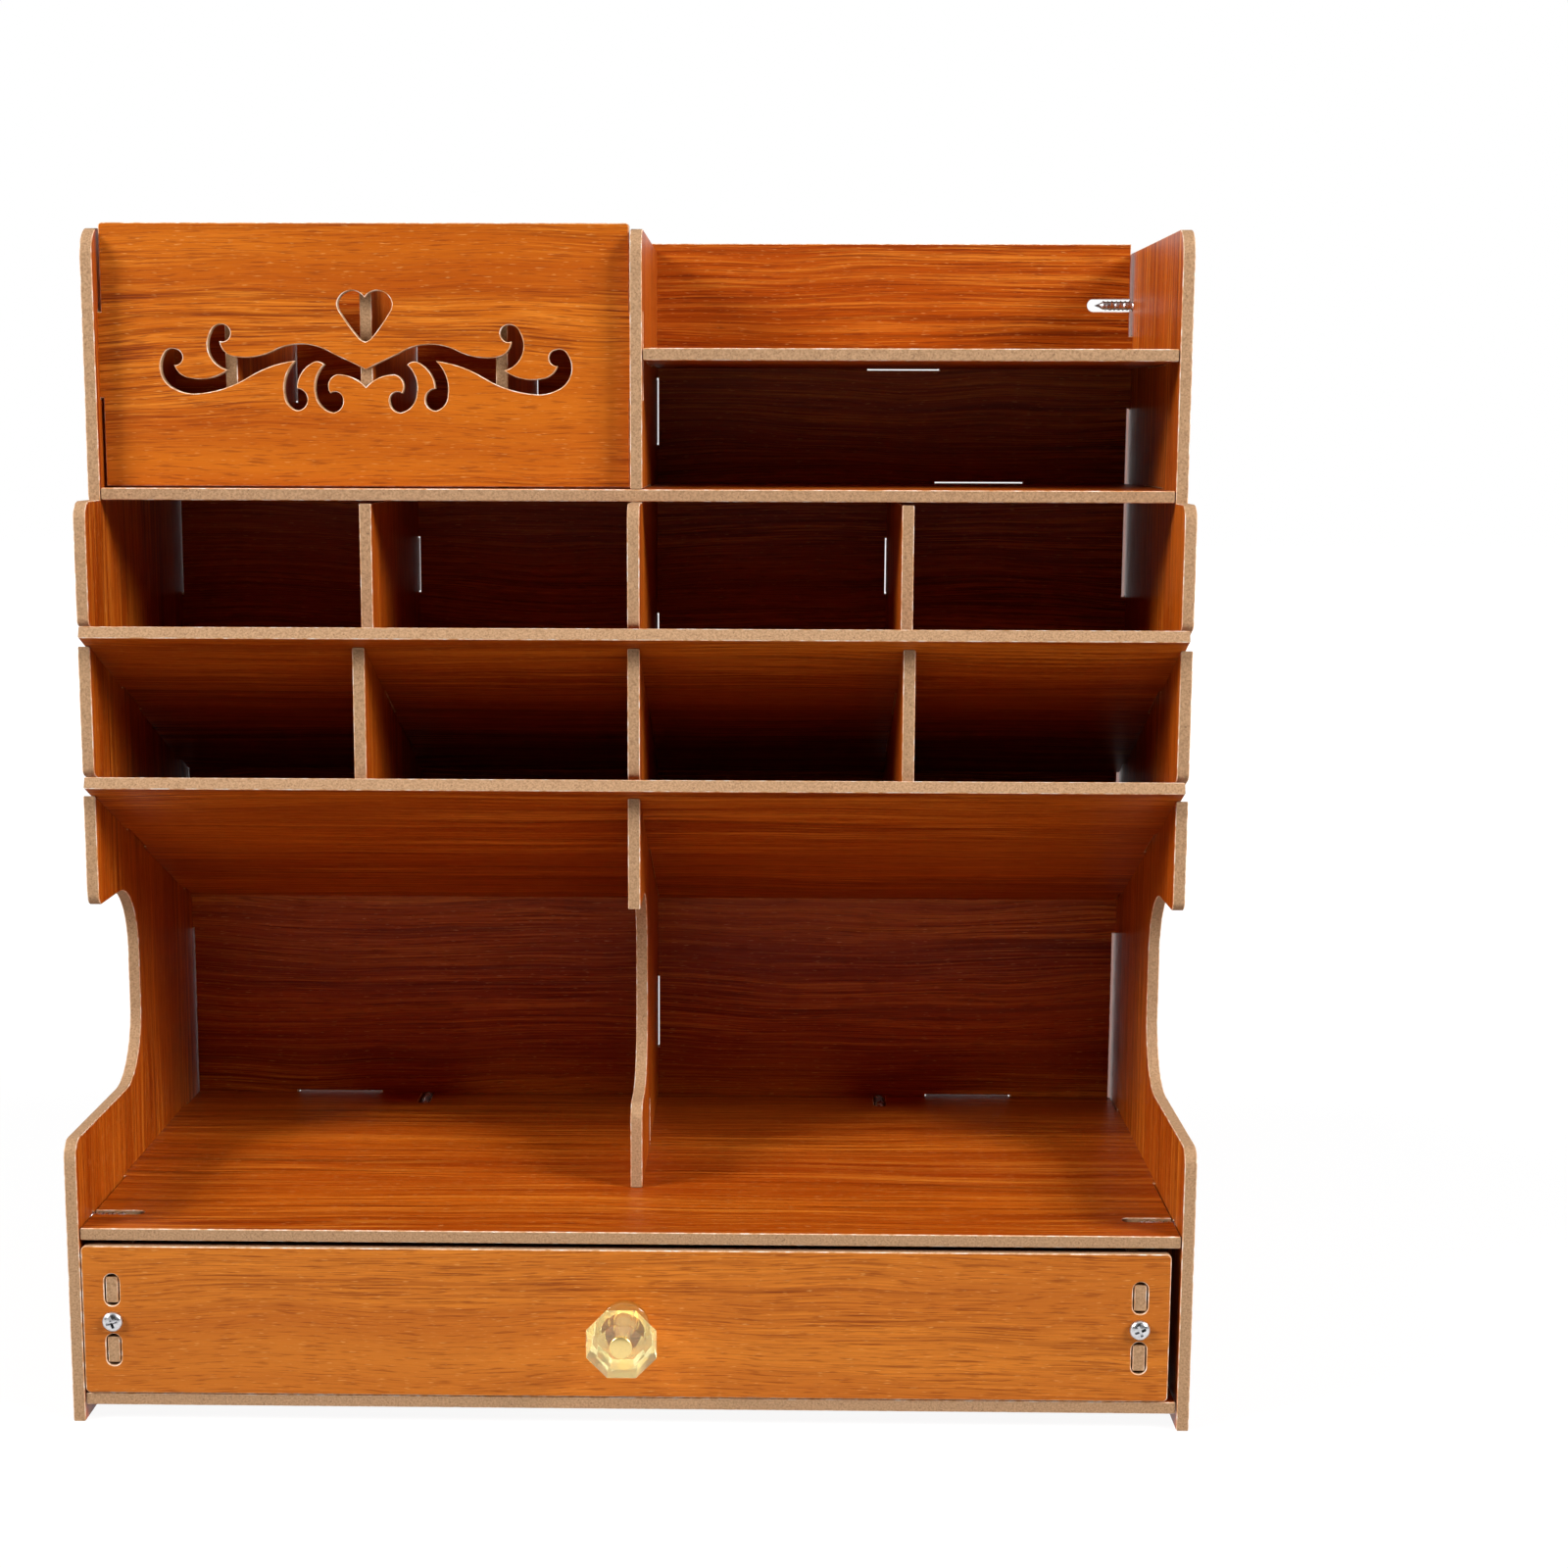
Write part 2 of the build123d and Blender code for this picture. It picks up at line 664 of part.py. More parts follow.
# Heart panel, the front of the cell box
with BuildPart() as heart_panel:
    with BuildSketch(facing_plane(heart_y)) as heart_outline:
        strip(heart_left, heart_right, heart_foot, heart_foot + heart_height)
        fillet(heart_outline.vertices().group_by(Axis.Y)[-1], heart_corner_radius)
        strip(-tenon_x, half_board - tenon_recess, *heart_tenon)
    extrude(amount=-board)
    extrude(scroll.sketch, amount=board + overrun, both=True, mode=Mode.SUBTRACT)
    extrude(heart.sketch, amount=board + overrun, both=True, mode=Mode.SUBTRACT)
save(heart_panel, "heart_panel")

# Dividers of the cell box
for cell_name, cell_x in cell_places.items():
    save(cell_divider(cell_x), f"cell_divider_{cell_name}")

# Dividers of the pen tiers: those above and below the upper sloped board both have a tenon in it
foot_levels = (tenon_recess, board + half_board)
head_levels = (-half_board, board - tenon_recess)
pen_tops = (divider_top, divider_top)
tier_tops = (under_slope(upper_sloped_z, pen_y) - fit, under_slope(upper_sloped_z, board_back_y) - fit)
for side_name, side in (("left", -1), ("right", 1)):
    divider_x = side * pen_divider_x
    upper_divider = pen_divider(
        divider_x, upper_sloped_z, top_y, pen_tops, pen_foot_tenon, foot_levels, pen_back_tenon
    )
    save(upper_divider, f"upper_pen_divider_{side_name}")
    lower_divider = pen_divider(
        divider_x, lower_sloped_z, pen_y, tier_tops, pen_head_tenon, head_levels, tier_back_tenon
    )
    save(lower_divider, f"lower_pen_divider_{side_name}")

# Screws of the cabinet
one_screw = screw()
side_screw_places = []
for side in (-1, 1):
    for base_z in (bottom_z, floor_z):
        side_screw_places.append(
            Location((side * half_width, side_screw_y, base_z + half_board), (0, -side * 90, 0))
        )
    for screw_z in back_screw_heights:
        side_screw_places.append(Location((side * half_width, back_middle_y, screw_z), (0, -side * 90, 0)))
side_panel_screws = screw_group(side_screw_places)
save(side_panel_screws, "side_panel_screws")

back_screw_places = []
for side in (-1, 1):
    for base_z in (bottom_z, floor_z):
        back_screw_places.append(
            Location((side * back_screw_x, back_face_y, base_z + half_board), (90, 0, 0))
        )
back_panel_screws = screw_group(back_screw_places)
save(back_panel_screws, "back_panel_screws")

centre_panel_screw = screw_group([Location((0, centre_screw_y, floor_z))])
save(centre_panel_screw, "centre_panel_screw")

# Drawer front with its knob hole, drawer back and drawer sides
with BuildPart() as drawer_front:
    add(drawer_end(front_y, drawer_front_top, True).part)
    with BuildSketch(facing_plane(front_y)):
        with Locations((drawer_middle, knob_z)):
            Circle(bolt_diameter / 2 + fit)
    extrude(amount=-board, mode=Mode.SUBTRACT)
save(drawer_front, "drawer_front")
drawer_back = drawer_end(drawer_back_front_y, drawer_wall_top, False)
save(drawer_back, "drawer_back")
for side_name, side_x in drawer_side_places.items():
    save(drawer_side(side_x), f"drawer_{side_name}_side")

# Drawer bottom, held by its tenons in the drawer sides
with BuildPart() as drawer_bottom:
    with BuildSketch(Plane.XY.offset(drawer_bottom_z)):
        left_x = drawer_side_places["left"]
        right_x = drawer_side_places["right"]
        side_gap = half_board + fit
        tenon_reach = half_board - tenon_recess
        strip(left_x + side_gap, right_x - side_gap, drawer_front_back_y + fit, drawer_back_front_y - fit)
        strip(left_x - tenon_reach, right_x + tenon_reach, *drawer_bottom_tenon)
    extrude(amount=board)
save(drawer_bottom, "drawer_bottom")

drawer_screw_places = []
for side_x in drawer_side_places.values():
    drawer_screw_places.append(Location((side_x, front_y, drawer_screw_z), (-90, 0, 0)))
    drawer_screw_places.append(Location((side_x, drawer_rear_y, drawer_screw_z), (90, 0, 0)))
drawer_screws = screw_group(drawer_screw_places)
save(drawer_screws, "drawer_screws")

# Knob body: turned foot and neck, and an eight-sided head that is widest near its front
knob_seat = (drawer_middle, front_y, knob_z)
knob_axis = Axis(knob_seat, (0, -1, 0))
neck_top = knob_foot_height + knob_neck_height
widest = neck_top + knob_flare_height
knob_face = neck_top + knob_head_height
with BuildSketch(Plane(knob_seat)) as knob_profile:
    with BuildLine():
        Polyline(
            (-knob_back_width / 2, -neck_top), (knob_back_width / 2, -neck_top), (knob_width / 2, -widest),
            (knob_face_width / 2, -knob_face), (-knob_face_width / 2, -knob_face), (-knob_width / 2, -widest),
            close=True,
        )
    make_face()

# The faceted head is what turned copies of one profile have in common
with BuildPart() as knob_head:
    extrude(knob_profile.sketch, amount=knob_width, both=True)
    for turn in range(1, knob_sides // 2):
        turned_profile = knob_profile.sketch.rotate(knob_axis, turn * 360 / knob_sides)
        extrude(turned_profile, amount=knob_width, both=True, mode=Mode.INTERSECT)

with BuildPart() as knob_body:
    with BuildSketch(Plane(knob_seat)):
        foot_radius = knob_foot_diameter / 2
        neck_radius = knob_neck_diameter / 2
        with BuildLine():
            Polyline(
                (0, 0), (foot_radius, 0), (foot_radius, -knob_foot_height), (neck_radius, -knob_foot_height),
                (neck_radius, -neck_top), (0, -neck_top), close=True,
            )
        make_face()
    revolve(axis=knob_axis)
    add(knob_head.part)
    with BuildSketch(facing_plane(front_y)):
        with Locations((drawer_middle, knob_z)):
            Circle(bolt_diameter / 2 + fit)
    extrude(amount=knob_face + overrun, mode=Mode.SUBTRACT)
save(knob_body, "knob_body")

# Knob bolt: its round cap shows on the knob's face
with BuildPart() as knob_bolt:
    with BuildSketch(Plane(knob_seat)):
        cap_radius = cap_diameter / 2
        bolt_radius = bolt_diameter / 2
        with BuildLine():
            Polyline(
                (0, -knob_reach), (cap_radius, -knob_reach), (cap_radius, -knob_face),
                (bolt_radius, -knob_face), (bolt_radius, bolt_tail), (0, bolt_tail), close=True,
            )
        make_face()
    revolve(axis=knob_axis)
save(knob_bolt, "knob_bolt")

# Washer and nut behind the drawer front
with BuildPart() as knob_washer:
    with BuildSketch(facing_plane(drawer_front_back_y)):
        with Locations((drawer_middle, knob_z)):
            Circle(washer_diameter / 2)
            Circle(bolt_diameter / 2 + fit, mode=Mode.SUBTRACT)
    extrude(amount=-washer_height)
save(knob_washer, "knob_washer")
with BuildPart() as knob_nut:
    with BuildSketch(facing_plane(drawer_front_back_y + washer_height)):
        with Locations((drawer_middle, knob_z)):
            RegularPolygon(nut_width / 2, 6, major_radius=False)
            Circle(bolt_diameter / 2 + fit, mode=Mode.SUBTRACT)
    extrude(amount=-nut_height)
save(knob_nut, "knob_nut")
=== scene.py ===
"""Looks of a desk organizer of laminated board: heart-cut box, shelf, pen tiers, two bays and a drawer.

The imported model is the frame. Each operator dresses one group of pieces, and the panel lists them.
"""
import math

import bmesh
import bpy
from bpy.props import FloatProperty, FloatVectorProperty, IntProperty, PointerProperty
from mathutils import Matrix, Vector


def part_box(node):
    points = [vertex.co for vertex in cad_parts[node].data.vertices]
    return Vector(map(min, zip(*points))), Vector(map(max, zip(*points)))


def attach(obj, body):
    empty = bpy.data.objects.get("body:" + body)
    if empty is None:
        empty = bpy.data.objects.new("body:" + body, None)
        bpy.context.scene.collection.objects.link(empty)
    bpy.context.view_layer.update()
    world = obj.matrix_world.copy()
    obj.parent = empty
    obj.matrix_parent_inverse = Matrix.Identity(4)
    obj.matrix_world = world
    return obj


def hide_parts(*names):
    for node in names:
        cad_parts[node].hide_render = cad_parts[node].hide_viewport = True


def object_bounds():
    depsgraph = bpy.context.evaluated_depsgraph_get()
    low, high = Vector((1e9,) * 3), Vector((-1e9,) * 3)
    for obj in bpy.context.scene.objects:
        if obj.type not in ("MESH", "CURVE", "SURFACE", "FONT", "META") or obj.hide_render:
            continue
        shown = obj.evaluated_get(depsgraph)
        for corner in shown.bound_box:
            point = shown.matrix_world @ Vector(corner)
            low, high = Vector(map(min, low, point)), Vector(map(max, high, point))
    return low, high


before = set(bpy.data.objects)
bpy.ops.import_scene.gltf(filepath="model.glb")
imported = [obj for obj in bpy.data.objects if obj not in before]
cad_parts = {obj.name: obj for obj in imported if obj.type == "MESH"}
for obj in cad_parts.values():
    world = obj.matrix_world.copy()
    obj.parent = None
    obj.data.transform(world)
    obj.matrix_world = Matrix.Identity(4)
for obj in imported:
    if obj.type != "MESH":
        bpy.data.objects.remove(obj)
cad_low, cad_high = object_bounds()

bl_info = {
    "name": "Desk organizer looks",
    "version": (1, 0, 0),
    "blender": (4, 5, 0),
    "location": "3D View > Sidebar > Organizer",
    "description": "Dresses a desk organizer of laminated board and sets its stage",
    "category": "Object",
}

# Boards of each body, with the direction that their grain runs in
CABINET_GRAIN = {
    "left_side_panel": "Z",
    "right_side_panel": "Z",
    "centre_panel": "Z",
    "back_panel": "X",
    "bottom_board": "X",
    "compartment_floor": "X",
    "lower_sloped_board": "X",
    "upper_sloped_board": "X",
    "top_floor_board": "X",
    "top_shelf": "X",
    "cell_divider_left": "Z",
    "cell_divider_middle": "Z",
    "cell_divider_right": "Z",
    "upper_pen_divider_left": "Z",
    "upper_pen_divider_right": "Z",
    "lower_pen_divider_left": "Z",
    "lower_pen_divider_right": "Z",
}
HEART_GRAIN = {"heart_panel": "X"}
DRAWER_GRAIN = {
    "drawer_front": "X",
    "drawer_back": "X",
    "drawer_left_side": "Y",
    "drawer_right_side": "Y",
    "drawer_bottom": "X",
}
DIRECTIONS = {"X": Vector((1, 0, 0)), "Y": Vector((0, 1, 0)), "Z": Vector((0, 0, 1))}

# Screw groups, with the body that carries them
SCREW_BODIES = {
    "side_panel_screws": "cabinet",
    "back_panel_screws": "cabinet",
    "centre_panel_screw": "cabinet",
    "drawer_screws": "drawer",
}

# Sizes that the screws' node tree takes from the settings
SCREW_SIZES = (
    "head_diameter", "head_height", "rim_height", "core_diameter", "thread_depth", "thread_pitch",
    "tip_length", "recess_length", "recess_width", "recess_depth",
)

# Sides, rings and points of the screws' round forms
HEAD_SIDES = 32
HEAD_RINGS = 20
SHANK_SIDES = 16
TURN_POINTS = 16
RIDGE_SIDES = 3

# Height on a ball of unit radius above which it is cut away for the screw's head
HALF_BALL = 0.01

# Steps of the dome on the knob's cap, and sides of its bolt
DOME_STEPS = 6
BOLT_SIDES = 36

# Distances in front of the knob's seat at which its acrylic starts to turn golden and is wholly golden
FOOT_START = 0.004
FOOT_FULL = 0.002

# How near vertices are to be one, how flat faces are to be joined, and from which angle an edge is sharp
MERGE_DISTANCE = 1e-6
FLAT_ANGLE = math.radians(1)
SHARP_ANGLE = math.radians(25)

# How closely a face's normal follows the board's for the face, and how little for its cut edge
FACE_LEAN = 0.95
EDGE_LEAN = 0.3

# Places of the finishes in a board's list of materials
LAMINATE = 0
FIBREBOARD = 1
CUT_LINE = 2

# How far apart on the printed sheet two boards are cut, along and across the grain
SHEET_STEP = Vector((0.37, 0.211))

# Step on the printed sheet at which each group of boards starts
CABINET_STEP = 20
HEART_STEP = 10
DRAWER_STEP = 18

# Fine lines of each laminate: how many follow each other along a metre of grain, the least share of them
# that shows between the bands where they gather, and how strongly long and short ones show, with the
# painted glints beside them
CABINET_LINES = (20.0, 0.5, 0.85, 0.9)
HEART_LINES = (32.0, 0.15, 0.5, 0.85)
DRAWER_LINES = (32.0, 0.15, 0.35, 0.6)

# Scales of the laminate's noises along and across the grain, per metre
WANDER_SCALES = (7.0, 18.0)
BAND_SCALES = (2.5, 42.0)
GATHER_SCALES = (5.0, 34.0)
LONG_LINE_SCALES = (4.0, 360.0)
SHORT_LINES_ACROSS = 1700.0
PORE_SCALES = (110.0, 2000.0)
FLECK_SCALES = (260.0, 2300.0)

# Scales of the other finishes' noises, per metre
MOTTLE_SCALE = 1700.0
SPECK_SCALE = 1300.0
NICK_SCALE = 420.0
CLOUD_SCALE = 700.0
RUB_SCALE = 500.0
TURNING_SCALE = 1800.0

# Values of a noise between which a mark starts to show and shows in full; the pale lines are painted
# glints
GATHER_LIMITS = (0.42, 0.62)
DARK_LONG_LIMITS = (0.53, 0.7)
PAINTED_GLINT_LONG_LIMITS = (0.47, 0.3)
DARK_SHORT_LIMITS = (0.56, 0.72)
PAINTED_GLINT_SHORT_LIMITS = (0.46, 0.3)
PORE_LIMITS = (0.57, 0.72)
FLECK_LIMITS = (0.7, 0.84)
SPECK_LIMITS = (0.66, 0.76)
RUB_LIMITS = (0.35, 0.7)

# Lowest and highest value that a noise usually has
NOISE_REACH = (0.3, 0.7)

# How strongly the pale lines, which are painted glints, show beside dark ones, and other marks on their
# ground
PAINTED_GLINT_LONG_SHARE = 0.8
PAINTED_GLINT_SHORT_SHARE = 0.7
PORE_SHARE = 0.5
FLECK_SHARE = 0.5
SPECK_SHARE = 0.6

# How far the figure wanders to each side across the grain
WANDER_REACH = 0.006

# Depth of the boards' relief, how strongly it shows on faces and cut edges, and the pores' share of it
RELIEF_DEPTH = 0.00008
LAMINATE_RELIEF = 0.8
FIBRE_RELIEF = 0.4
PORE_RELIEF = 0.4

# Roughness of the finishes, from their smoothest to their roughest places where it varies
LAMINATE_ROUGHNESS = (0.32, 0.44)
FIBRE_ROUGHNESS = 0.82
CUT_LINE_ROUGHNESS = 0.6
STEEL_ROUGHNESS = (0.2, 0.38)
ACRYLIC_ROUGHNESS = (0.0, 0.06)
GOLD_ROUGHNESS = (0.28, 0.4)

# Colours of the screws' zinc
ZINC_DARK = (0.5, 0.5, 0.52)
ZINC_LIGHT = (0.8, 0.8, 0.82)

# Share of their colour that acrylic and gold keep where they are deepest
DEEP_SHARE = 0.93

# Each lamp's place, its size across and up, and the setting that gives its power
LAMPS = {
    "left_lamp": ((-1.58, -0.85, 1.2), (0.7, 0.7), "side_power"),
    "right_lamp": ((1.58, -0.85, 1.2), (0.7, 0.7), "side_power"),
    "top_lamp": ((0.0, -0.8, 1.5), (1.6, 0.6), "top_power"),
    "rear_lamp": ((0.0, 1.5, 0.2), (1.8, 0.3), "rear_power"),
}

# The floor: half its width, its grey and roughness under the lamps, the strength of its plain white, and
# the distances from the middle between which the white takes over
FLOOR_REACH = 6.0
FLOOR_GREY = (0.45, 0.45, 0.45)
FLOOR_ROUGHNESS = 0.9
FLOOR_WHITE = 1.16
FADE_START = 0.4
FADE_END = 1.6

# How far a direction leans to the back where the room is darkest and where it is white
ROOM_DARK = -0.6
ROOM_WHITE = 0.1

# Nearest and farthest distance that the camera sees
CLIP_START = 0.01
CLIP_END = 50.0

# What all colours and all lengths among the settings share
COLOUR = {"size": 3, "min": 0.0, "max": 1.0, "subtype": "COLOR"}
LENGTH = {"precision": 5, "unit": "LENGTH"}


class BoardFinish(bpy.types.PropertyGroup):
    """Sizes and colours of the laminated boards."""

    line_width: FloatProperty(
        name="Cut line width", description="Width of the pale line along each cut edge",
        default=0.00025, min=0.0, **LENGTH,
    )
    # The cabinet's laminate is set darker and redder than the heart panel's: painted shade for its deep
    # compartments
    cabinet_light: FloatVectorProperty(
        name="Cabinet laminate, light", description="Colour of the pale bands of the cabinet's laminate",
        default=(0.52, 0.098, 0.0035), **COLOUR,
    )
    cabinet_dark: FloatVectorProperty(
        name="Cabinet laminate, dark", description="Colour of the deep bands of the cabinet's laminate",
        default=(0.33, 0.043, 0.0012), **COLOUR,
    )
    heart_light: FloatVectorProperty(
        name="Heart panel laminate, light",
        description="Colour of the pale bands of the heart panel's laminate",
        default=(0.62, 0.156, 0.008), **COLOUR,
    )
    heart_dark: FloatVectorProperty(
        name="Heart panel laminate, dark",
        description="Colour of the deep bands of the heart panel's laminate",
        default=(0.42, 0.072, 0.0025), **COLOUR,
    )
    drawer_light: FloatVectorProperty(
        name="Drawer laminate, light",
        description="Colour of the pale bands of the drawer's browner laminate",
        default=(0.6, 0.178, 0.018), **COLOUR,
    )
    drawer_dark: FloatVectorProperty(
        name="Drawer laminate, dark",
        description="Colour of the deep bands of the drawer's browner laminate",
        default=(0.45, 0.105, 0.009), **COLOUR,
    )
    streak: FloatVectorProperty(
        name="Streaks", description="Colour of the dark streaks in the laminate",
        default=(0.17, 0.02, 0.0005), **COLOUR,
    )
    # The pale lines are painted glints of light on the ridges of the laminate's pressed relief
    painted_glint_line: FloatVectorProperty(
        name="Pale lines", description="Colour of the fine pale lines in the laminate",
        default=(0.78, 0.25, 0.025), **COLOUR,
    )
    fleck: FloatVectorProperty(
        name="Flecks", description="Colour of the bright flecks in the laminate",
        default=(0.86, 0.42, 0.12), **COLOUR,
    )
    fibre_light: FloatVectorProperty(
        name="Fibreboard, light", description="Pale colour of the fibreboard on the cut edges",
        default=(0.51, 0.3, 0.156), **COLOUR,
    )
    fibre_dark: FloatVectorProperty(
        name="Fibreboard, dark", description="Deep colour of the fibreboard on the cut edges",
        default=(0.32, 0.175, 0.083), **COLOUR,
    )
    fibre_speck: FloatVectorProperty(
        name="Fibreboard, specks", description="Colour of the dark specks in the fibreboard",
        default=(0.16, 0.075, 0.032), **COLOUR,
    )
    line_light: FloatVectorProperty(
        name="Cut line, light", description="Pale colour of the line along a cut edge",
        default=(0.86, 0.56, 0.36), **COLOUR,
    )
    line_dark: FloatVectorProperty(
        name="Cut line, dark", description="Deep colour of the line along a cut edge",
        default=(0.62, 0.3, 0.12), **COLOUR,
    )
    line_chip: FloatVectorProperty(
        name="Cut line, chips", description="Colour of the pale chips along a cut edge",
        default=(0.92, 0.8, 0.68), **COLOUR,
    )


class ScrewSizes(bpy.types.PropertyGroup):
    """Sizes of the pan-head screws."""

    head_height: FloatProperty(
        name="Head height", description="Height of the head over the board",
        default=0.0021, min=0.0005, **LENGTH,
    )
    rim_height: FloatProperty(
        name="Rim height", description="Height of the head's upright rim",
        default=0.0006, min=0.0, **LENGTH,
    )
    head_diameter: FloatProperty(
        name="Head diameter", description="Diameter of the head",
        default=0.0061, min=0.001, **LENGTH,
    )
    core_diameter: FloatProperty(
        name="Core diameter", description="Diameter of the shank between the turns of its thread",
        default=0.0027, min=0.0005, **LENGTH,
    )
    thread_depth: FloatProperty(
        name="Thread depth", description="How far the thread stands out of the core",
        default=0.0004, min=0.0, **LENGTH,
    )
    thread_pitch: FloatProperty(
        name="Thread pitch", description="Distance from one turn of the thread to the next",
        default=0.00145, min=0.0003, **LENGTH,
    )
    tip_length: FloatProperty(
        name="Tip length", description="Length of the tapered tip",
        default=0.003, min=0.0005, **LENGTH,
    )
    recess_length: FloatProperty(
        name="Recess length", description="Length of each arm of the cross recess from end to end",
        default=0.0034, min=0.0005, **LENGTH,
    )
    recess_width: FloatProperty(
        name="Recess width", description="Width of the arms of the cross recess",
        default=0.0008, min=0.0002, **LENGTH,
    )
    recess_depth: FloatProperty(
        name="Recess depth", description="Depth of the cross recess",
        default=0.0011, min=0.0002, **LENGTH,
    )
    spin_seed: IntProperty(
        name="Spin seed", description="Seed for how far each screw was turned", default=7, min=0,
    )


class KnobFinish(bpy.types.PropertyGroup):
    """Sizes and colours of the knob."""

    facet_edge: FloatProperty(
        name="Facet edge", description="Width of the softened edges between the facets",
        default=0.00012, min=0.0, **LENGTH,
    )
    cap_dome: FloatProperty(
        name="Cap dome", description="How far the middle of the cap stands over its rim",
        default=0.0004, min=0.0, **LENGTH,
    )
    cap_height: FloatProperty(
        name="Cap height", description="How far the cap stands out of the knob's face",
        default=0.001, min=0.0002, **LENGTH,
    )
    bolt_diameter: FloatProperty(
        name="Bolt diameter", description="Diameter of the bolt over its thread",
        default=0.004, min=0.001, **LENGTH,
    )
    thread_pitch: FloatProperty(
        name="Thread pitch", description="Distance from one ridge of the bolt to the next",
        default=0.0014, min=0.0003, **LENGTH,
    )
    thread_depth: FloatProperty(
        name="Thread depth", description="Depth of the grooves between the ridges",
        default=0.0005, min=0.0, **LENGTH,
    )
    acrylic: FloatVectorProperty(
        name="Acrylic", description="Tint of the clear acrylic",
        default=(1.0, 0.9, 0.5), **COLOUR,
    )
    acrylic_foot: FloatVectorProperty(
        name="Acrylic foot", description="Golden tint of the acrylic at the knob's foot",
        default=(0.95, 0.6, 0.12), **COLOUR,
    )
    gold: FloatVectorProperty(
        name="Gold", description="Colour of the gold-coloured metal",
        default=(0.95, 0.7, 0.28), **COLOUR,
    )


class StageSettings(bpy.types.PropertyGroup):
    """Camera, lamps and floor."""

    camera_place: FloatVectorProperty(
        name="Camera place", description="Where the camera stands",
        default=(0.0403, -0.8234, 0.2907), size=3, subtype="TRANSLATION", unit="LENGTH",
    )
    camera_yaw: FloatProperty(
        name="Camera yaw", description="How far the camera is turned to the left",
        default=0.0169, subtype="ANGLE",
    )
    camera_pitch: FloatProperty(
        name="Camera pitch", description="How far the camera looks down",
        default=0.1689, subtype="ANGLE",
    )
    camera_roll: FloatProperty(
        name="Camera roll", description="How far the camera is tipped to its side",
        default=0.0028, subtype="ANGLE",
    )
    camera_lens: FloatProperty(
        name="Lens", description="Focal length in millimetres on a 36 mm sensor", default=60.93, min=1.0,
    )
    camera_shift: FloatVectorProperty(
        name="Camera shift", description="Shift of the frame to the side and up",
        default=(0.0381, 0.0625), size=2,
    )
    side_power: FloatProperty(
        name="Side lamps", description="Power of each of the two lamps beside the front in watts",
        default=43.0, min=0.0,
    )
    top_power: FloatProperty(
        name="Top lamp", description="Power of the soft lamp above the front in watts",
        default=1.0, min=0.0,
    )
    rear_power: FloatProperty(
        name="Rear lamp", description="Power of the soft lamp behind in watts", default=12.0, min=0.0,
    )
    ambient: FloatProperty(
        name="Ambient", description="Strength of the light from all round", default=0.005, min=0.0,
    )
    room_grey: FloatProperty(
        name="Room", description="Brightness of the room in front of the object",
        default=0.02, min=0.0, max=1.0,
    )
    floor_glow: FloatProperty(
        name="Floor glow", description="Share of plain white in the floor",
        default=0.8, min=0.0, max=1.0,
    )


def add_node(tree, kind, **settings):
    """Add a node to a tree and set its named properties."""
    made = tree.nodes.new(kind)
    for name, value in settings.items():
        setattr(made, name, value)
    return made


def plug(tree, socket, value):
    """Link a socket to another one, or set it to a plain value."""
    if isinstance(value, bpy.types.NodeSocket):
        tree.links.new(value, socket)
    else:
        socket.default_value = value


def feed(tree, target, **values):
    """Link or set a node's inputs, named with underscores for spaces."""
    for name, value in values.items():
        plug(tree, target.inputs[name.replace("_", " ")], value)


def new_material(name):
    """Start a material and return it with its tree and its principled shader."""
    material = bpy.data.materials.new(name)
    material.use_nodes = True
    tree = material.node_tree
    shader = tree.nodes["Principled BSDF"]
    return material, tree, shader


def colour_of(values):
    """Return a colour with full opacity."""
    return (*values, 1.0)


def colour_ramp(tree, factor, *stops):
    """Return the colour output of a ramp with stops of place and colour."""
    ramp = add_node(tree, "ShaderNodeValToRGB")
    elements = ramp.color_ramp.elements
    for index, (place, colour) in enumerate(stops):
        element = elements[index] if index < len(elements) else elements.new(place)
        element.position = place
        element.color = colour_of(colour)
    tree.links.new(factor, ramp.inputs["Fac"])
    return ramp.outputs["Color"]


def level(tree, factor, low, high, start, end):
    """Return a factor between low and high, spread from start to end and held there."""
    spread = add_node(tree, "ShaderNodeMapRange", clamp=True)
    feed(tree, spread, Value=factor, From_Min=low, From_Max=high, To_Min=start, To_Max=end)
    return spread.outputs["Result"]


def math_of(tree, operation, first, second):
    """Return the result of an operation on two values, which may be sockets."""
    step = add_node(tree, "ShaderNodeMath", operation=operation)
    plug(tree, step.inputs[0], first)
    plug(tree, step.inputs[1], second)
    return step.outputs["Value"]


def marked(tree, ground, share, colour):
    """Return a ground's colour with a share of another colour laid over it."""
    mix = add_node(tree, "ShaderNodeMix", data_type="RGBA")
    sockets = {socket.identifier: socket for socket in mix.inputs}
    tree.links.new(share, sockets["Factor_Float"])
    tree.links.new(ground, sockets["A_Color"])
    sockets["B_Color"].default_value = colour_of(colour)
    return next(socket for socket in mix.outputs if socket.identifier == "Result_Color")


def stretched_noise(tree, place, scales, detail, roughness=0.5):
    """Return a noise over the sheet, with its scales along and across the grain per metre."""
    mapping = add_node(tree, "ShaderNodeMapping")
    feed(tree, mapping, Vector=place, Scale=(*scales, 1.0))
    noise = add_node(tree, "ShaderNodeTexNoise", noise_dimensions="2D")
    feed(tree, noise, Vector=mapping.outputs["Vector"], Scale=1.0, Detail=detail, Roughness=roughness)
    return noise.outputs["Fac"]


def solid_noise(tree, scale, detail):
    """Return a noise through the whole piece, with its scale per metre."""
    place = add_node(tree, "ShaderNodeTexCoord")
    noise = add_node(tree, "ShaderNodeTexNoise")
    feed(tree, noise, Vector=place.outputs["Object"], Scale=scale, Detail=detail)
    return noise.outputs["Fac"]


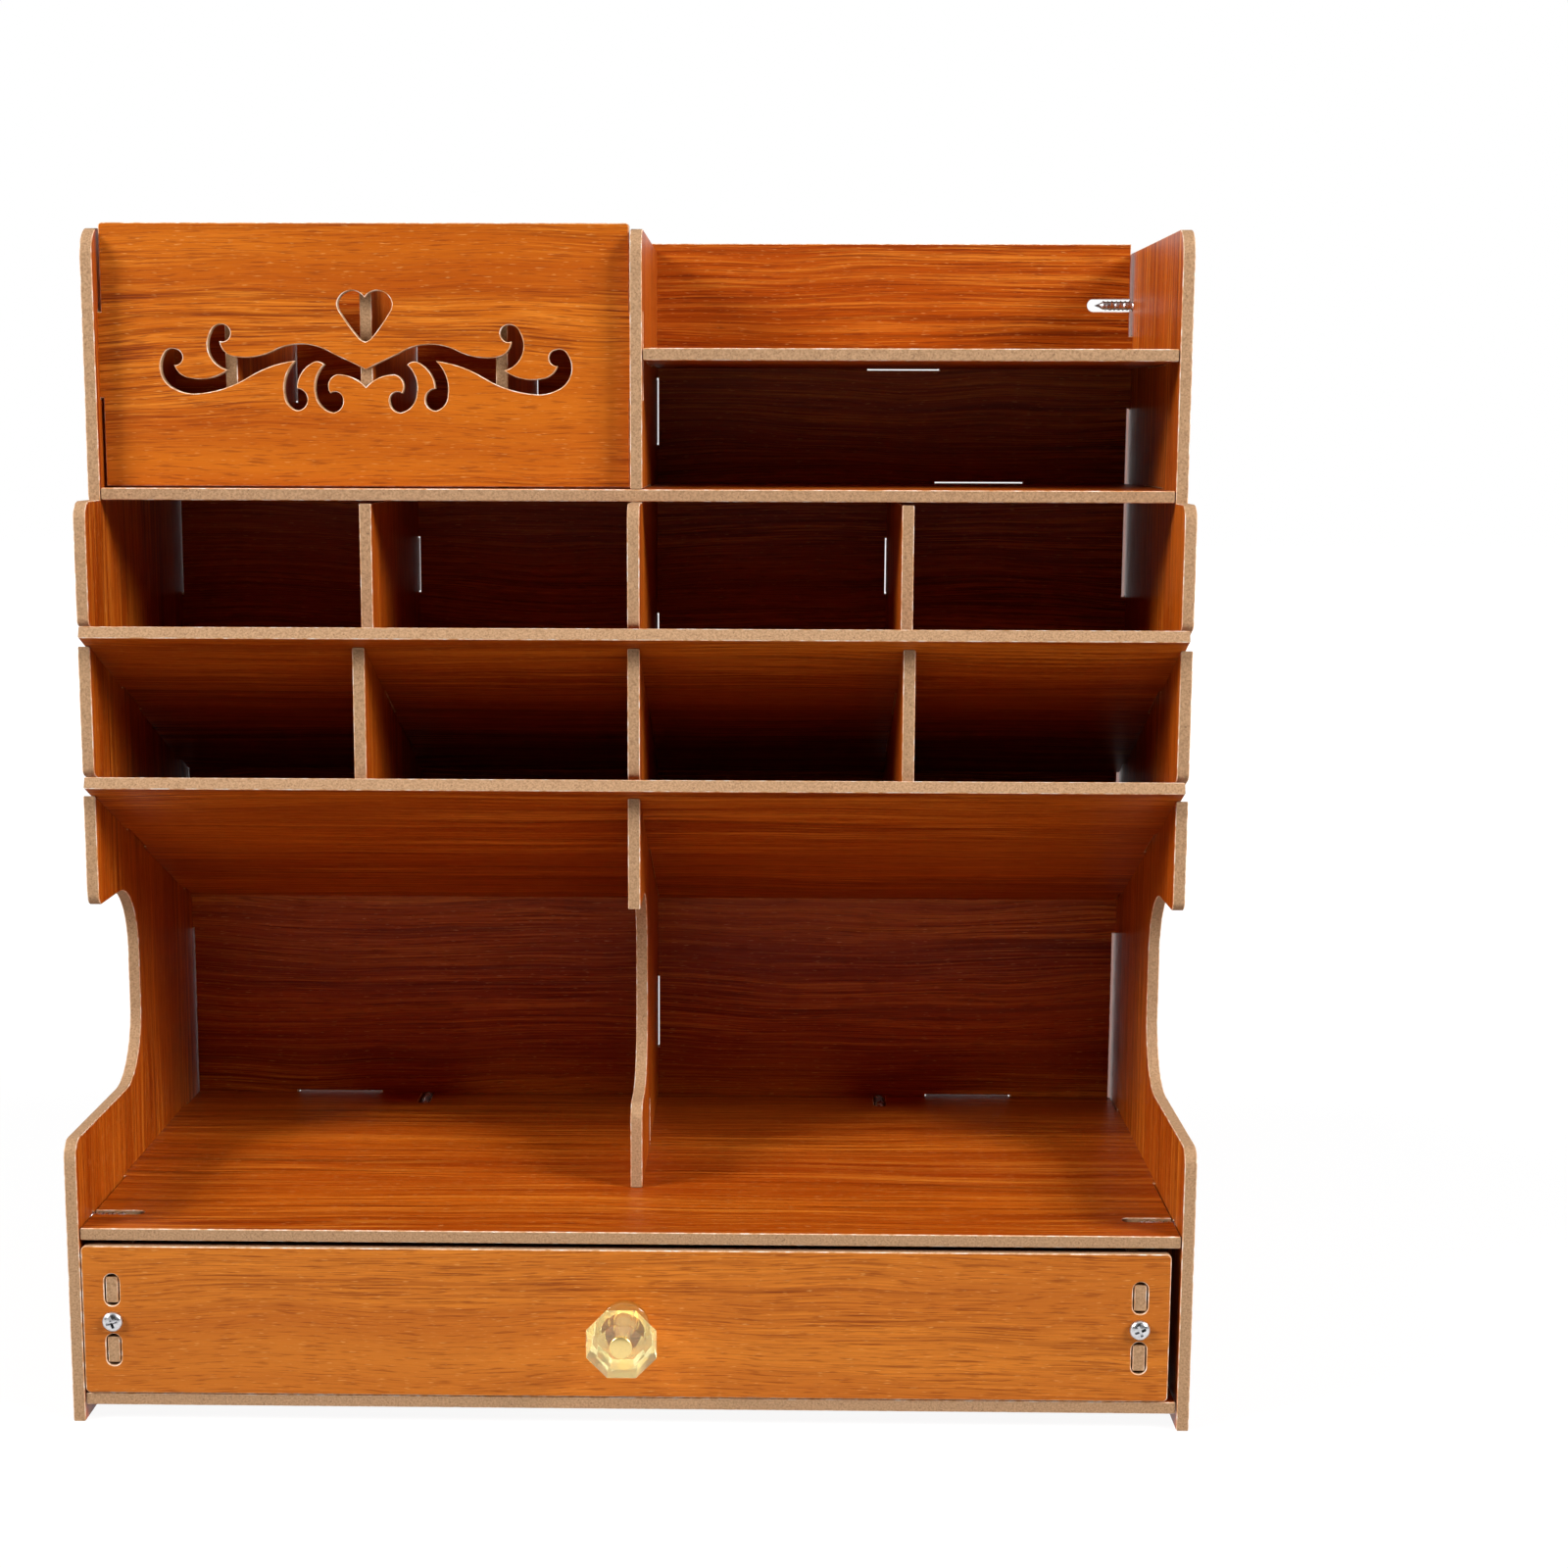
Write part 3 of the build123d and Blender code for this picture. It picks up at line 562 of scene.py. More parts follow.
def raised(tree, height, distance, strength):
    """Return the normal of a bump of the given height."""
    bump = add_node(tree, "ShaderNodeBump")
    feed(tree, bump, Height=height, Distance=distance, Strength=strength)
    return bump.outputs["Normal"]


def line_share(tree, noise, limits, strength, gather):
    """Return how far lines show, from none at the first limit of their noise to full at the second."""
    return math_of(tree, "MULTIPLY", level(tree, noise, *limits, 0.0, strength), gather)


def laminate_material(name, light, dark, lines, finish):
    """Printed cherry laminate: wavy bands, fine lines that gather in some of them with painted glints
    beside them, and short pores.
    """
    lines_along, least_lines, long_strength, short_strength = lines
    material, tree, shader = new_material(name)
    sheet = add_node(tree, "ShaderNodeUVMap", uv_map="grain").outputs["UV"]
    split = add_node(tree, "ShaderNodeSeparateXYZ")
    feed(tree, split, Vector=sheet)

    # The figure wanders a few millimetres across the grain
    wander = stretched_noise(tree, sheet, WANDER_SCALES, 2.0)
    shift = level(tree, wander, 0.0, 1.0, -WANDER_REACH, WANDER_REACH)
    wavy = add_node(tree, "ShaderNodeCombineXYZ")
    feed(tree, wavy, X=split.outputs["X"], Y=math_of(tree, "ADD", split.outputs["Y"], shift))
    figure = wavy.outputs["Vector"]

    # Broad bands, and the places where lines gather
    bands = stretched_noise(tree, figure, BAND_SCALES, 4.0)
    ground = colour_ramp(tree, bands, (0.3, dark), (0.68, light))
    gathering = stretched_noise(tree, figure, GATHER_SCALES, 2.0)
    gather = level(tree, gathering, *GATHER_LIMITS, least_lines, 1.0)

    # Long lines, dark at one end of their noise, and pale at the other: painted glints of light on the
    # relief's ridges
    long_lines = stretched_noise(tree, figure, LONG_LINE_SCALES, 3.0, 0.6)
    glint_strength = PAINTED_GLINT_LONG_SHARE * long_strength
    dark_long = line_share(tree, long_lines, DARK_LONG_LIMITS, long_strength, gather)
    painted_glint_long = line_share(tree, long_lines, PAINTED_GLINT_LONG_LIMITS, glint_strength, gather)
    dark_streaked = marked(tree, ground, dark_long, finish.streak)
    streaked_and_glinted = marked(tree, dark_streaked, painted_glint_long, finish.painted_glint_line)

    # Short lines and their painted glints, made in the same way
    short_lines = stretched_noise(tree, figure, (lines_along, SHORT_LINES_ACROSS), 2.0, 0.55)
    glint_strength = PAINTED_GLINT_SHORT_SHARE * short_strength
    dark_short = line_share(tree, short_lines, DARK_SHORT_LIMITS, short_strength, gather)
    painted_glint_short = line_share(tree, short_lines, PAINTED_GLINT_SHORT_LIMITS, glint_strength, gather)
    dark_lined = marked(tree, streaked_and_glinted, dark_short, finish.streak)
    lined_and_glinted = marked(tree, dark_lined, painted_glint_short, finish.painted_glint_line)

    # Short pores, small bright flecks and the pressed relief of dark lines and pores
    pores = stretched_noise(tree, figure, PORE_SCALES, 2.0)
    pored = marked(tree, lined_and_glinted, level(tree, pores, *PORE_LIMITS, 0.0, PORE_SHARE), finish.streak)
    flecks = stretched_noise(tree, sheet, FLECK_SCALES, 1.0)
    colour = marked(tree, pored, level(tree, flecks, *FLECK_LIMITS, 0.0, FLECK_SHARE), finish.fleck)
    pressed = math_of(tree, "ADD", dark_short, level(tree, pores, *NOISE_REACH, 0.0, PORE_RELIEF))
    normal = raised(tree, math_of(tree, "MULTIPLY", pressed, -1.0), RELIEF_DEPTH, LAMINATE_RELIEF)
    gloss = level(tree, pores, *NOISE_REACH, *LAMINATE_ROUGHNESS)
    feed(tree, shader, Base_Color=colour, Roughness=gloss, Specular_IOR_Level=0.16, Normal=normal)
    return material


def fibreboard_material(finish):
    """Cut fibreboard: matt, with a fine mottle and a few dark specks."""
    material, tree, shader = new_material("cut_fibreboard")
    mottle = solid_noise(tree, MOTTLE_SCALE, 3.0)
    ground = colour_ramp(tree, mottle, (0.3, finish.fibre_dark), (0.64, finish.fibre_light))
    specks = solid_noise(tree, SPECK_SCALE, 1.0)
    speck_share = level(tree, specks, *SPECK_LIMITS, 0.0, SPECK_SHARE)
    colour = marked(tree, ground, speck_share, finish.fibre_speck)
    normal = raised(tree, mottle, RELIEF_DEPTH, FIBRE_RELIEF)
    feed(tree, shader, Base_Color=colour, Roughness=FIBRE_ROUGHNESS, Normal=normal)
    return material


def cut_line_material(finish):
    """Bare rim of the laminate where it was cut, with small nicks and a few pale chips."""
    material, tree, shader = new_material("cut_line")
    nicks = solid_noise(tree, NICK_SCALE, 4.0)
    stops = ((0.36, finish.line_dark), (0.54, finish.line_light), (0.66, finish.line_chip))
    colour = colour_ramp(tree, nicks, *stops)
    feed(tree, shader, Base_Color=colour, Roughness=CUT_LINE_ROUGHNESS)
    return material


def screw_steel_material():
    """Bright zinc on steel, with faint clouding."""
    material, tree, shader = new_material("zinc_steel")
    cloud = solid_noise(tree, CLOUD_SCALE, 3.0)
    colour = colour_ramp(tree, cloud, (0.3, ZINC_DARK), (0.7, ZINC_LIGHT))
    gloss = level(tree, cloud, *NOISE_REACH, *STEEL_ROUGHNESS)
    feed(tree, shader, Base_Color=colour, Metallic=1.0, Roughness=gloss)
    return material


def acrylic_material(finish):
    """Clear acrylic with a pale yellow tint, golden at its foot, and a faintly rubbed surface."""
    material, tree, shader = new_material("clear_acrylic")
    rubbed = solid_noise(tree, RUB_SCALE, 2.0)
    deeper = tuple(value * DEEP_SHARE for value in finish.acrylic)
    clear = colour_ramp(tree, rubbed, (0.3, deeper), (0.6, finish.acrylic))
    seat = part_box("knob_body")[1].y
    place = add_node(tree, "ShaderNodeSeparateXYZ")
    feed(tree, place, Vector=add_node(tree, "ShaderNodeTexCoord").outputs["Object"])
    foot_share = level(tree, place.outputs["Y"], seat - FOOT_START, seat - FOOT_FULL, 0.0, 1.0)
    colour = marked(tree, clear, foot_share, finish.acrylic_foot)
    gloss = level(tree, rubbed, *RUB_LIMITS, *ACRYLIC_ROUGHNESS)
    feed(tree, shader, Base_Color=colour, IOR=1.49, Transmission_Weight=0.82, Roughness=gloss)
    return material


def gold_material(finish):
    """Gold-coloured metal with fine turning marks."""
    material, tree, shader = new_material("gold_metal")
    marks = solid_noise(tree, TURNING_SCALE, 3.0)
    deeper = tuple(value * DEEP_SHARE for value in finish.gold)
    colour = colour_ramp(tree, marks, (0.3, deeper), (0.6, finish.gold))
    gloss = level(tree, marks, *NOISE_REACH, *GOLD_ROUGHNESS)
    feed(tree, shader, Base_Color=colour, Metallic=1.0, Roughness=gloss)
    return material


def bare_copy(node):
    """Return a bmesh of a CAD node's shape, merged, with its flat faces joined."""
    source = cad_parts[node].data
    work = bmesh.new()
    corners = [work.verts.new(vertex.co) for vertex in source.vertices]
    for polygon in source.polygons:
        work.faces.new([corners[index] for index in polygon.vertices])
    bmesh.ops.remove_doubles(work, verts=work.verts, dist=MERGE_DISTANCE)
    bmesh.ops.dissolve_limit(work, angle_limit=FLAT_ANGLE, verts=work.verts, edges=work.edges)
    work.normal_update()
    return work


def new_object(name, mesh, *materials):
    """Show a mesh as an object with the materials, smooth but for its sharp edges."""
    for material in materials:
        mesh.materials.append(material)
    mesh.shade_smooth()
    mesh.set_sharp_from_angle(angle=SHARP_ANGLE)
    piece = bpy.data.objects.new(name, mesh)
    bpy.context.scene.collection.objects.link(piece)
    return piece


def new_piece(name, work, *materials):
    """Turn a bmesh into an object with the materials, smooth but for its sharp edges."""
    mesh = bpy.data.meshes.new(name)
    work.to_mesh(mesh)
    work.free()
    return new_object(name, mesh, *materials)


def stand_for(piece, node, body):
    """Let a piece take the place of a CAD node on its body."""
    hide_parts(node)
    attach(piece, body)


def soften(work, edges, width):
    """Cut a narrow chamfer along edges."""
    bmesh.ops.bevel(
        work, geom=edges, offset=width, offset_type="OFFSET", segments=1, profile=0.5,
        affect="EDGES", clamp_overlap=False,
    )
    work.normal_update()


def dress_board(node, body, grain, sheet_place, finish, materials):
    """Dress one board: laminate on its faces, fibreboard on its edges and a pale line between them."""
    work = bare_copy(node)
    facing = max(work.faces, key=lambda face: face.calc_area()).normal.copy()
    rims = []
    for edge in work.edges:
        leans = sorted(abs(face.normal.dot(facing)) for face in edge.link_faces)
        if len(leans) == 2 and leans[0] < EDGE_LEAN and leans[1] > FACE_LEAN:
            rims.append(edge)
    if not rims:
        raise RuntimeError(f"{node} has no cut edges")
    soften(work, rims, finish.line_width)

    along = DIRECTIONS[grain]
    across = facing.cross(along)
    sheet = work.loops.layers.uv.new("grain")
    for face in work.faces:
        lean = abs(face.normal.dot(facing))
        if lean > FACE_LEAN:
            face.material_index = LAMINATE
        elif lean < EDGE_LEAN:
            face.material_index = FIBREBOARD
        else:
            face.material_index = CUT_LINE
        for loop in face.loops:
            place = loop.vert.co
            loop[sheet].uv = Vector((place.dot(along), place.dot(across))) + sheet_place
    piece = new_piece(f"{node}_dressed", work, *materials)
    stand_for(piece, node, body)


def dress_boards(grains, body, first, laminate, finish):
    """Dress a group of boards on a body, each cut from its own place on the printed sheet."""
    fibreboard = bpy.data.materials.get("cut_fibreboard") or fibreboard_material(finish)
    cut_line = bpy.data.materials.get("cut_line") or cut_line_material(finish)
    materials = (laminate, fibreboard, cut_line)
    for index, (node, grain) in enumerate(grains.items()):
        dress_board(node, body, grain, SHEET_STEP * (first + index), finish, materials)


class ORGANIZER_OT_cabinet_boards(bpy.types.Operator):
    """Dress the boards of the cabinet"""

    bl_idname = "organizer.cabinet_boards"
    bl_label = "Cabinet boards"

    def execute(self, context):
        """Dress every board of the cabinet."""
        finish = context.scene.organizer_boards
        # The cabinet's darker, redder laminate paints the shade of its deep compartments into its boards
        colours = (finish.cabinet_light, finish.cabinet_dark)
        laminate = laminate_material("cabinet_laminate", *colours, CABINET_LINES, finish)
        dress_boards(CABINET_GRAIN, "cabinet", CABINET_STEP, laminate, finish)
        return {"FINISHED"}


class ORGANIZER_OT_heart_panel(bpy.types.Operator):
    """Dress the panel with the heart and scroll cut-outs"""

    bl_idname = "organizer.heart_panel"
    bl_label = "Heart panel"

    def execute(self, context):
        """Dress the heart panel in its paler laminate."""
        finish = context.scene.organizer_boards
        colours = (finish.heart_light, finish.heart_dark)
        laminate = laminate_material("heart_laminate", *colours, HEART_LINES, finish)
        dress_boards(HEART_GRAIN, "cabinet", HEART_STEP, laminate, finish)
        return {"FINISHED"}


class ORGANIZER_OT_drawer_boards(bpy.types.Operator):
    """Dress the boards of the drawer"""

    bl_idname = "organizer.drawer_boards"
    bl_label = "Drawer boards"

    def execute(self, context):
        """Dress every board of the drawer."""
        finish = context.scene.organizer_boards
        colours = (finish.drawer_light, finish.drawer_dark)
        laminate = laminate_material("drawer_laminate", *colours, DRAWER_LINES, finish)
        dress_boards(DRAWER_GRAIN, "drawer", DRAWER_STEP, laminate, finish)
        return {"FINISHED"}


def combined(tree, x, y, z):
    """Return a vector of three values, which may be sockets."""
    vector = add_node(tree, "ShaderNodeCombineXYZ")
    feed(tree, vector, X=x, Y=y, Z=z)
    return vector.outputs["Vector"]


def moved(tree, geometry, **change):
    """Return the geometry after a transform."""
    step = add_node(tree, "GeometryNodeTransform")
    feed(tree, step, Geometry=geometry, **change)
    return step.outputs["Geometry"]


def joined(tree, *parts):
    """Return the parts as one geometry."""
    step = add_node(tree, "GeometryNodeJoinGeometry")
    for part in parts:
        tree.links.new(part, step.inputs["Geometry"])
    return step.outputs["Geometry"]


def screw_head(tree, size):
    """Return a pan head with a cross recess, which stands below its seat at the origin."""
    head_radius = math_of(tree, "DIVIDE", size["head_diameter"], 2.0)
    dome_height = math_of(tree, "SUBTRACT", size["head_height"], size["rim_height"])

    # Half a flattened ball on an upright rim, closed by its seat
    ball = add_node(tree, "GeometryNodeMeshUVSphere")
    feed(tree, ball, Segments=HEAD_SIDES, Rings=HEAD_RINGS, Radius=1.0)
    where = add_node(tree, "GeometryNodeInputPosition")
    split = add_node(tree, "ShaderNodeSeparateXYZ")
    feed(tree, split, Vector=where.outputs["Position"])
    above = math_of(tree, "GREATER_THAN", split.outputs["Z"], HALF_BALL)
    half = add_node(tree, "GeometryNodeDeleteGeometry", domain="POINT")
    feed(tree, half, Geometry=ball.outputs["Mesh"], Selection=above)
    dome_scale = combined(tree, head_radius, head_radius, dome_height)
    rim_drop = combined(tree, 0.0, 0.0, math_of(tree, "MULTIPLY", size["rim_height"], -1.0))
    dome = moved(tree, half.outputs["Geometry"], Translation=rim_drop, Scale=dome_scale)
    rim = add_node(tree, "GeometryNodeMeshCylinder", fill_type="NONE")
    feed(tree, rim, Vertices=HEAD_SIDES, Radius=head_radius, Depth=size["rim_height"])
    half_rim = combined(tree, 0.0, 0.0, math_of(tree, "MULTIPLY", size["rim_height"], -0.5))
    rim_mesh = moved(tree, rim.outputs["Mesh"], Translation=half_rim)
    seat = add_node(tree, "GeometryNodeMeshCircle", fill_type="NGON")
    feed(tree, seat, Vertices=HEAD_SIDES, Radius=head_radius)
    shell = joined(tree, dome, rim_mesh, seat.outputs["Mesh"])
    head = add_node(tree, "GeometryNodeMergeByDistance")
    feed(tree, head, Geometry=shell, Distance=MERGE_DISTANCE)

    # Two crossed boxes cut the recess out of the dome
    twice_depth = math_of(tree, "MULTIPLY", size["recess_depth"], 2.0)
    top = combined(tree, 0.0, 0.0, math_of(tree, "MULTIPLY", size["head_height"], -1.0))
    cut = add_node(tree, "GeometryNodeMeshBoolean", operation="DIFFERENCE")
    feed(tree, cut, Mesh_1=head.outputs["Geometry"])
    for first, second in (("recess_length", "recess_width"), ("recess_width", "recess_length")):
        arm = add_node(tree, "GeometryNodeMeshCube")
        feed(tree, arm, Size=combined(tree, size[first], size[second], twice_depth))
        tree.links.new(moved(tree, arm.outputs["Mesh"], Translation=top), cut.inputs["Mesh 2"])
    return cut.outputs["Mesh"]


def screw_shank(tree, size):
    """Return the core of a shank, its tip and the thread round the core, which stand over the seat."""
    core_radius = math_of(tree, "DIVIDE", size["core_diameter"], 2.0)
    core_length = math_of(tree, "SUBTRACT", size["length"], size["tip_length"])
    core = add_node(tree, "GeometryNodeMeshCylinder")
    feed(tree, core, Vertices=SHANK_SIDES, Radius=core_radius, Depth=core_length)
    half_core = combined(tree, 0.0, 0.0, math_of(tree, "DIVIDE", core_length, 2.0))
    core_mesh = moved(tree, core.outputs["Mesh"], Translation=half_core)
    tip = add_node(tree, "GeometryNodeMeshCone")
    feed(
        tree, tip, Vertices=SHANK_SIDES, Radius_Top=0.0, Radius_Bottom=core_radius,
        Depth=size["tip_length"],
    )
    tip_mesh = moved(tree, tip.outputs["Mesh"], Translation=combined(tree, 0.0, 0.0, core_length))
    turns = math_of(tree, "DIVIDE", core_length, size["thread_pitch"])
    turn = add_node(tree, "GeometryNodeCurveSpiral")
    feed(
        tree, turn, Resolution=TURN_POINTS, Rotations=turns, Start_Radius=core_radius,
        End_Radius=core_radius, Height=core_length,
    )
    ridge = add_node(tree, "GeometryNodeCurvePrimitiveCircle")
    feed(tree, ridge, Resolution=RIDGE_SIDES, Radius=size["thread_depth"])
    thread = add_node(tree, "GeometryNodeCurveToMesh")
    feed(
        tree, thread, Curve=turn.outputs["Curve"], Profile_Curve=ridge.outputs["Curve"], Fill_Caps=True,
    )
    return core_mesh, tip_mesh, thread.outputs["Mesh"]


def screw_tree(steel):
    """Build the node tree that sets a pan-head screw at every point, in the direction it points."""
    tree = bpy.data.node_groups.new("pan_head_screws", "GeometryNodeTree")
    tree.interface.new_socket("Geometry", in_out="INPUT", socket_type="NodeSocketGeometry")
    for name in (*SCREW_SIZES, "length"):
        tree.interface.new_socket(name, in_out="INPUT", socket_type="NodeSocketFloat")
    tree.interface.new_socket("seed", in_out="INPUT", socket_type="NodeSocketInt")
    tree.interface.new_socket("Geometry", in_out="OUTPUT", socket_type="NodeSocketGeometry")
    size = add_node(tree, "NodeGroupInput").outputs
    result = add_node(tree, "NodeGroupOutput")
    one = joined(tree, screw_head(tree, size), *screw_shank(tree, size))

    # Each screw follows its point's direction, and is turned by chance about its own axis
    pointing = add_node(tree, "GeometryNodeInputNamedAttribute", data_type="FLOAT_VECTOR")
    feed(tree, pointing, Name="pointing")
    aim = add_node(tree, "FunctionNodeAlignRotationToVector", axis="Z")
    feed(tree, aim, Vector=pointing.outputs["Attribute"])
    chance = add_node(tree, "FunctionNodeRandomValue", data_type="FLOAT_VECTOR")
    vector_inputs = {socket.identifier: socket for socket in chance.inputs}
    vector_inputs["Min"].default_value = (0.0, 0.0, 0.0)
    vector_inputs["Max"].default_value = (0.0, 0.0, math.tau)
    tree.links.new(size["seed"], vector_inputs["Seed"])
    spin = add_node(tree, "FunctionNodeEulerToRotation")
    feed(tree, spin, Euler=chance.outputs["Value"])
    spun = add_node(tree, "FunctionNodeRotateRotation", rotation_space="LOCAL")
    feed(tree, spun, Rotation=aim.outputs["Rotation"], Rotate_By=spin.outputs["Rotation"])
    placed = add_node(tree, "GeometryNodeInstanceOnPoints")
    feed(tree, placed, Points=size["Geometry"], Instance=one, Rotation=spun.outputs["Rotation"])
    real = add_node(tree, "GeometryNodeRealizeInstances")
    feed(tree, real, Geometry=placed.outputs["Instances"])
    finished = add_node(tree, "GeometryNodeSetMaterial")
    feed(tree, finished, Geometry=real.outputs["Geometry"], Material=steel)
    feed(tree, result, Geometry=finished.outputs["Geometry"])
    return tree


def unit(axis):
    """Return the unit vector along an axis."""
    return Vector(1.0 if index == axis else 0.0 for index in range(3))


def screw_place(points, head_height):
    """Return the seat, direction and length under the head of the screw with these points."""
    low = Vector(min(point[axis] for point in points) for axis in range(3))
    high = Vector(max(point[axis] for point in points) for axis in range(3))
    span = high - low
    axis = max(range(3), key=lambda index: span[index])
    along = unit(axis)
    middle = (low + high) / 2

    def off_axis(point):
        """Return how far a point is from the screw's axis."""
        return (point - middle - (point - middle).dot(along) * along).length

    # The head is the widest place
    widest = max(points, key=off_axis)
    pointing = along if widest[axis] < middle[axis] else -along
    head_top = middle - pointing * span[axis] / 2
    return head_top + pointing * head_height, pointing, span[axis] - head_height


def screw_places(node, head_height):
    """Return the seat, direction and length under the head of every screw in a CAD node."""
    work = bare_copy(node)
    found = set()
    places = []
    for start in work.verts:
        if start in found:
            continue
        island = {start}
        edge_of_island = [start]
        while edge_of_island:
            vertex = edge_of_island.pop()
            near = {edge.other_vert(vertex) for edge in vertex.link_edges} - island
            island |= near
            edge_of_island.extend(near)
        found |= island
        places.append(screw_place([vertex.co.copy() for vertex in island], head_height))
    work.free()
    return places


def dress_screws(node, body, sizes, tree):
    """Set modelled screws where a CAD node has its plain ones."""
    places = screw_places(node, sizes.head_height)
    mesh = bpy.data.meshes.new(f"{node}_points")
    mesh.from_pydata([seat for seat, pointing, length in places], [], [])
    directions = mesh.attributes.new("pointing", "FLOAT_VECTOR", "POINT")
    for row, (seat, pointing, length) in zip(directions.data, places):
        row.vector = pointing
    carrier = bpy.data.objects.new(f"{node}_points", mesh)
    bpy.context.scene.collection.objects.link(carrier)
    modifier = carrier.modifiers.new("screws", "NODES")
    modifier.node_group = tree
    identifiers = {
        item.name: item.identifier for item in tree.interface.items_tree if item.in_out == "INPUT"
    }
    for name in SCREW_SIZES:
        modifier[identifiers[name]] = getattr(sizes, name)

    # All screws of a group have the same length
    modifier[identifiers["length"]] = places[0][2]
    modifier[identifiers["seed"]] = sizes.spin_seed
    evaluated = carrier.evaluated_get(bpy.context.evaluated_depsgraph_get())
    made = bpy.data.meshes.new_from_object(evaluated)
    carrier.modifiers.remove(modifier)
    bpy.data.objects.remove(carrier)
    if not made.polygons:
        raise RuntimeError(f"no screws were made for {node}")
    made.name = f"{node}_dressed"
    piece = new_object(f"{node}_dressed", made)
    stand_for(piece, node, body)


class ORGANIZER_OT_screws(bpy.types.Operator):
    """Set the threaded pan-head screws"""

    bl_idname = "organizer.screws"
    bl_label = "Screws"

    def execute(self, context):
        """Make every group of screws with one node tree."""
        sizes = context.scene.organizer_screws
        tree = screw_tree(screw_steel_material())
        for node, body in SCREW_BODIES.items():
            dress_screws(node, body, sizes, tree)
        return {"FINISHED"}


def sharp_edges(work):
    """Return the edges of a bmesh that turn by more than the sharp angle."""
    return [
        edge for edge in work.edges
        if len(edge.link_faces) == 2 and edge.calc_face_angle() > SHARP_ANGLE
    ]


def dress_hardware(node, material, edge_width):
    """Dress a small piece of the knob, with its sharp edges softened, and return it."""
    work = bare_copy(node)
    soften(work, sharp_edges(work), edge_width)
    piece = new_piece(f"{node}_dressed", work, material)
    stand_for(piece, node, "drawer")
    return piece


def turned(profile, middle, sides):
    """Return a bmesh of points of radius and depth, turned about the knob's axis."""
    work = bmesh.new()
    rings = []
    for radius, depth in profile:
        count = sides if radius > 0 else 1
        angles = [math.tau * index / count for index in range(count)]
        rings.append([
            work.verts.new((
                middle.x + radius * math.cos(angle), depth, middle.z + radius * math.sin(angle),
            ))
            for angle in angles
        ])
    for front, behind in zip(rings, rings[1:]):
        for index in range(sides):
            following = index + 1
            corners = [
                front[index % len(front)], front[following % len(front)],
                behind[following % len(behind)], behind[index % len(behind)],
            ]
            work.faces.new(list(dict.fromkeys(corners)))
    bmesh.ops.recalc_face_normals(work, faces=work.faces)
    return work


def dress_bolt(finish, gold):
    """Turn the knob's bolt with a domed cap and a ridged shank."""
    low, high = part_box("knob_bolt")
    cap_radius = (high.x - low.x) / 2
    bolt_radius = finish.bolt_diameter / 2
    face = low.y + finish.cap_height
    profile = []
    for step in range(DOME_STEPS + 1):
        angle = math.pi / 2 * step / DOME_STEPS
        depth = low.y + finish.cap_dome * (1 - math.cos(angle))
        profile.append((cap_radius * math.sin(angle), depth))
    profile.append((cap_radius, face))
    ridges = int((high.y - face) / finish.thread_pitch)
    for ridge in range(ridges):
        start = face + ridge * finish.thread_pitch
        profile.append((bolt_radius, start))
        profile.append((bolt_radius - finish.thread_depth, start + finish.thread_pitch / 2))
    profile.append((bolt_radius, face + ridges * finish.thread_pitch))
    profile.append((bolt_radius - finish.thread_depth, high.y))
    profile.append((0.0, high.y))
    work = turned(profile, (low + high) / 2, BOLT_SIDES)
    piece = new_piece("knob_bolt_dressed", work, gold)
    stand_for(piece, "knob_bolt", "drawer")


class ORGANIZER_OT_knob(bpy.types.Operator):
    """Dress the knob, its bolt, washer and nut"""

    bl_idname = "organizer.knob"
    bl_label = "Knob"

    def execute(self, context):
        """Dress the clear body and the metal pieces that hold it."""
        finish = context.scene.organizer_knob
        gold = gold_material(finish)
        acrylic = acrylic_material(finish)
        body = dress_hardware("knob_body", acrylic, finish.facet_edge)

        # Light passes through the clear body to its bolt
        body.visible_shadow = False
        dress_bolt(finish, gold)
        for node in ("knob_washer", "knob_nut"):
            dress_hardware(node, gold, finish.facet_edge)
        return {"FINISHED"}


def seen_white(tree):
    """Return a factor that is one for what the camera, gloss and clear pieces see."""
    path = add_node(tree, "ShaderNodeLightPath").outputs
    seen = math_of(tree, "MAXIMUM", path["Is Camera Ray"], path["Is Glossy Ray"])
    return math_of(tree, "MAXIMUM", seen, path["Is Transmission Ray"])


def set_floor(settings):
    """Lay a wide white floor that keeps the object's shadow."""
    work = bmesh.new()
    bmesh.ops.create_grid(work, x_segments=1, y_segments=1, size=FLOOR_REACH)
    mesh = bpy.data.meshes.new("floor")
    work.to_mesh(mesh)
    work.free()
    material, tree, shader = new_material("white_floor")
    feed(tree, shader, Base_Color=colour_of(FLOOR_GREY), Roughness=FLOOR_ROUGHNESS)
    glow = add_node(tree, "ShaderNodeEmission")
    feed(tree, glow, Strength=FLOOR_WHITE)
    mix = add_node(tree, "ShaderNodeMixShader")
    place = add_node(tree, "ShaderNodeTexCoord")
    distance = add_node(tree, "ShaderNodeVectorMath", operation="LENGTH")
    tree.links.new(place.outputs["Object"], distance.inputs[0])
    glow_share = level(tree, distance.outputs["Value"], FADE_START, FADE_END, settings.floor_glow, 1.0)
    tree.links.new(math_of(tree, "MULTIPLY", seen_white(tree), glow_share), mix.inputs[0])
    tree.links.new(shader.outputs["BSDF"], mix.inputs[1])
    tree.links.new(glow.outputs["Emission"], mix.inputs[2])
    tree.links.new(mix.outputs["Shader"], tree.nodes["Material Output"].inputs["Surface"])
    mesh.materials.append(material)
    floor = bpy.data.objects.new("floor", mesh)
    bpy.context.scene.collection.objects.link(floor)


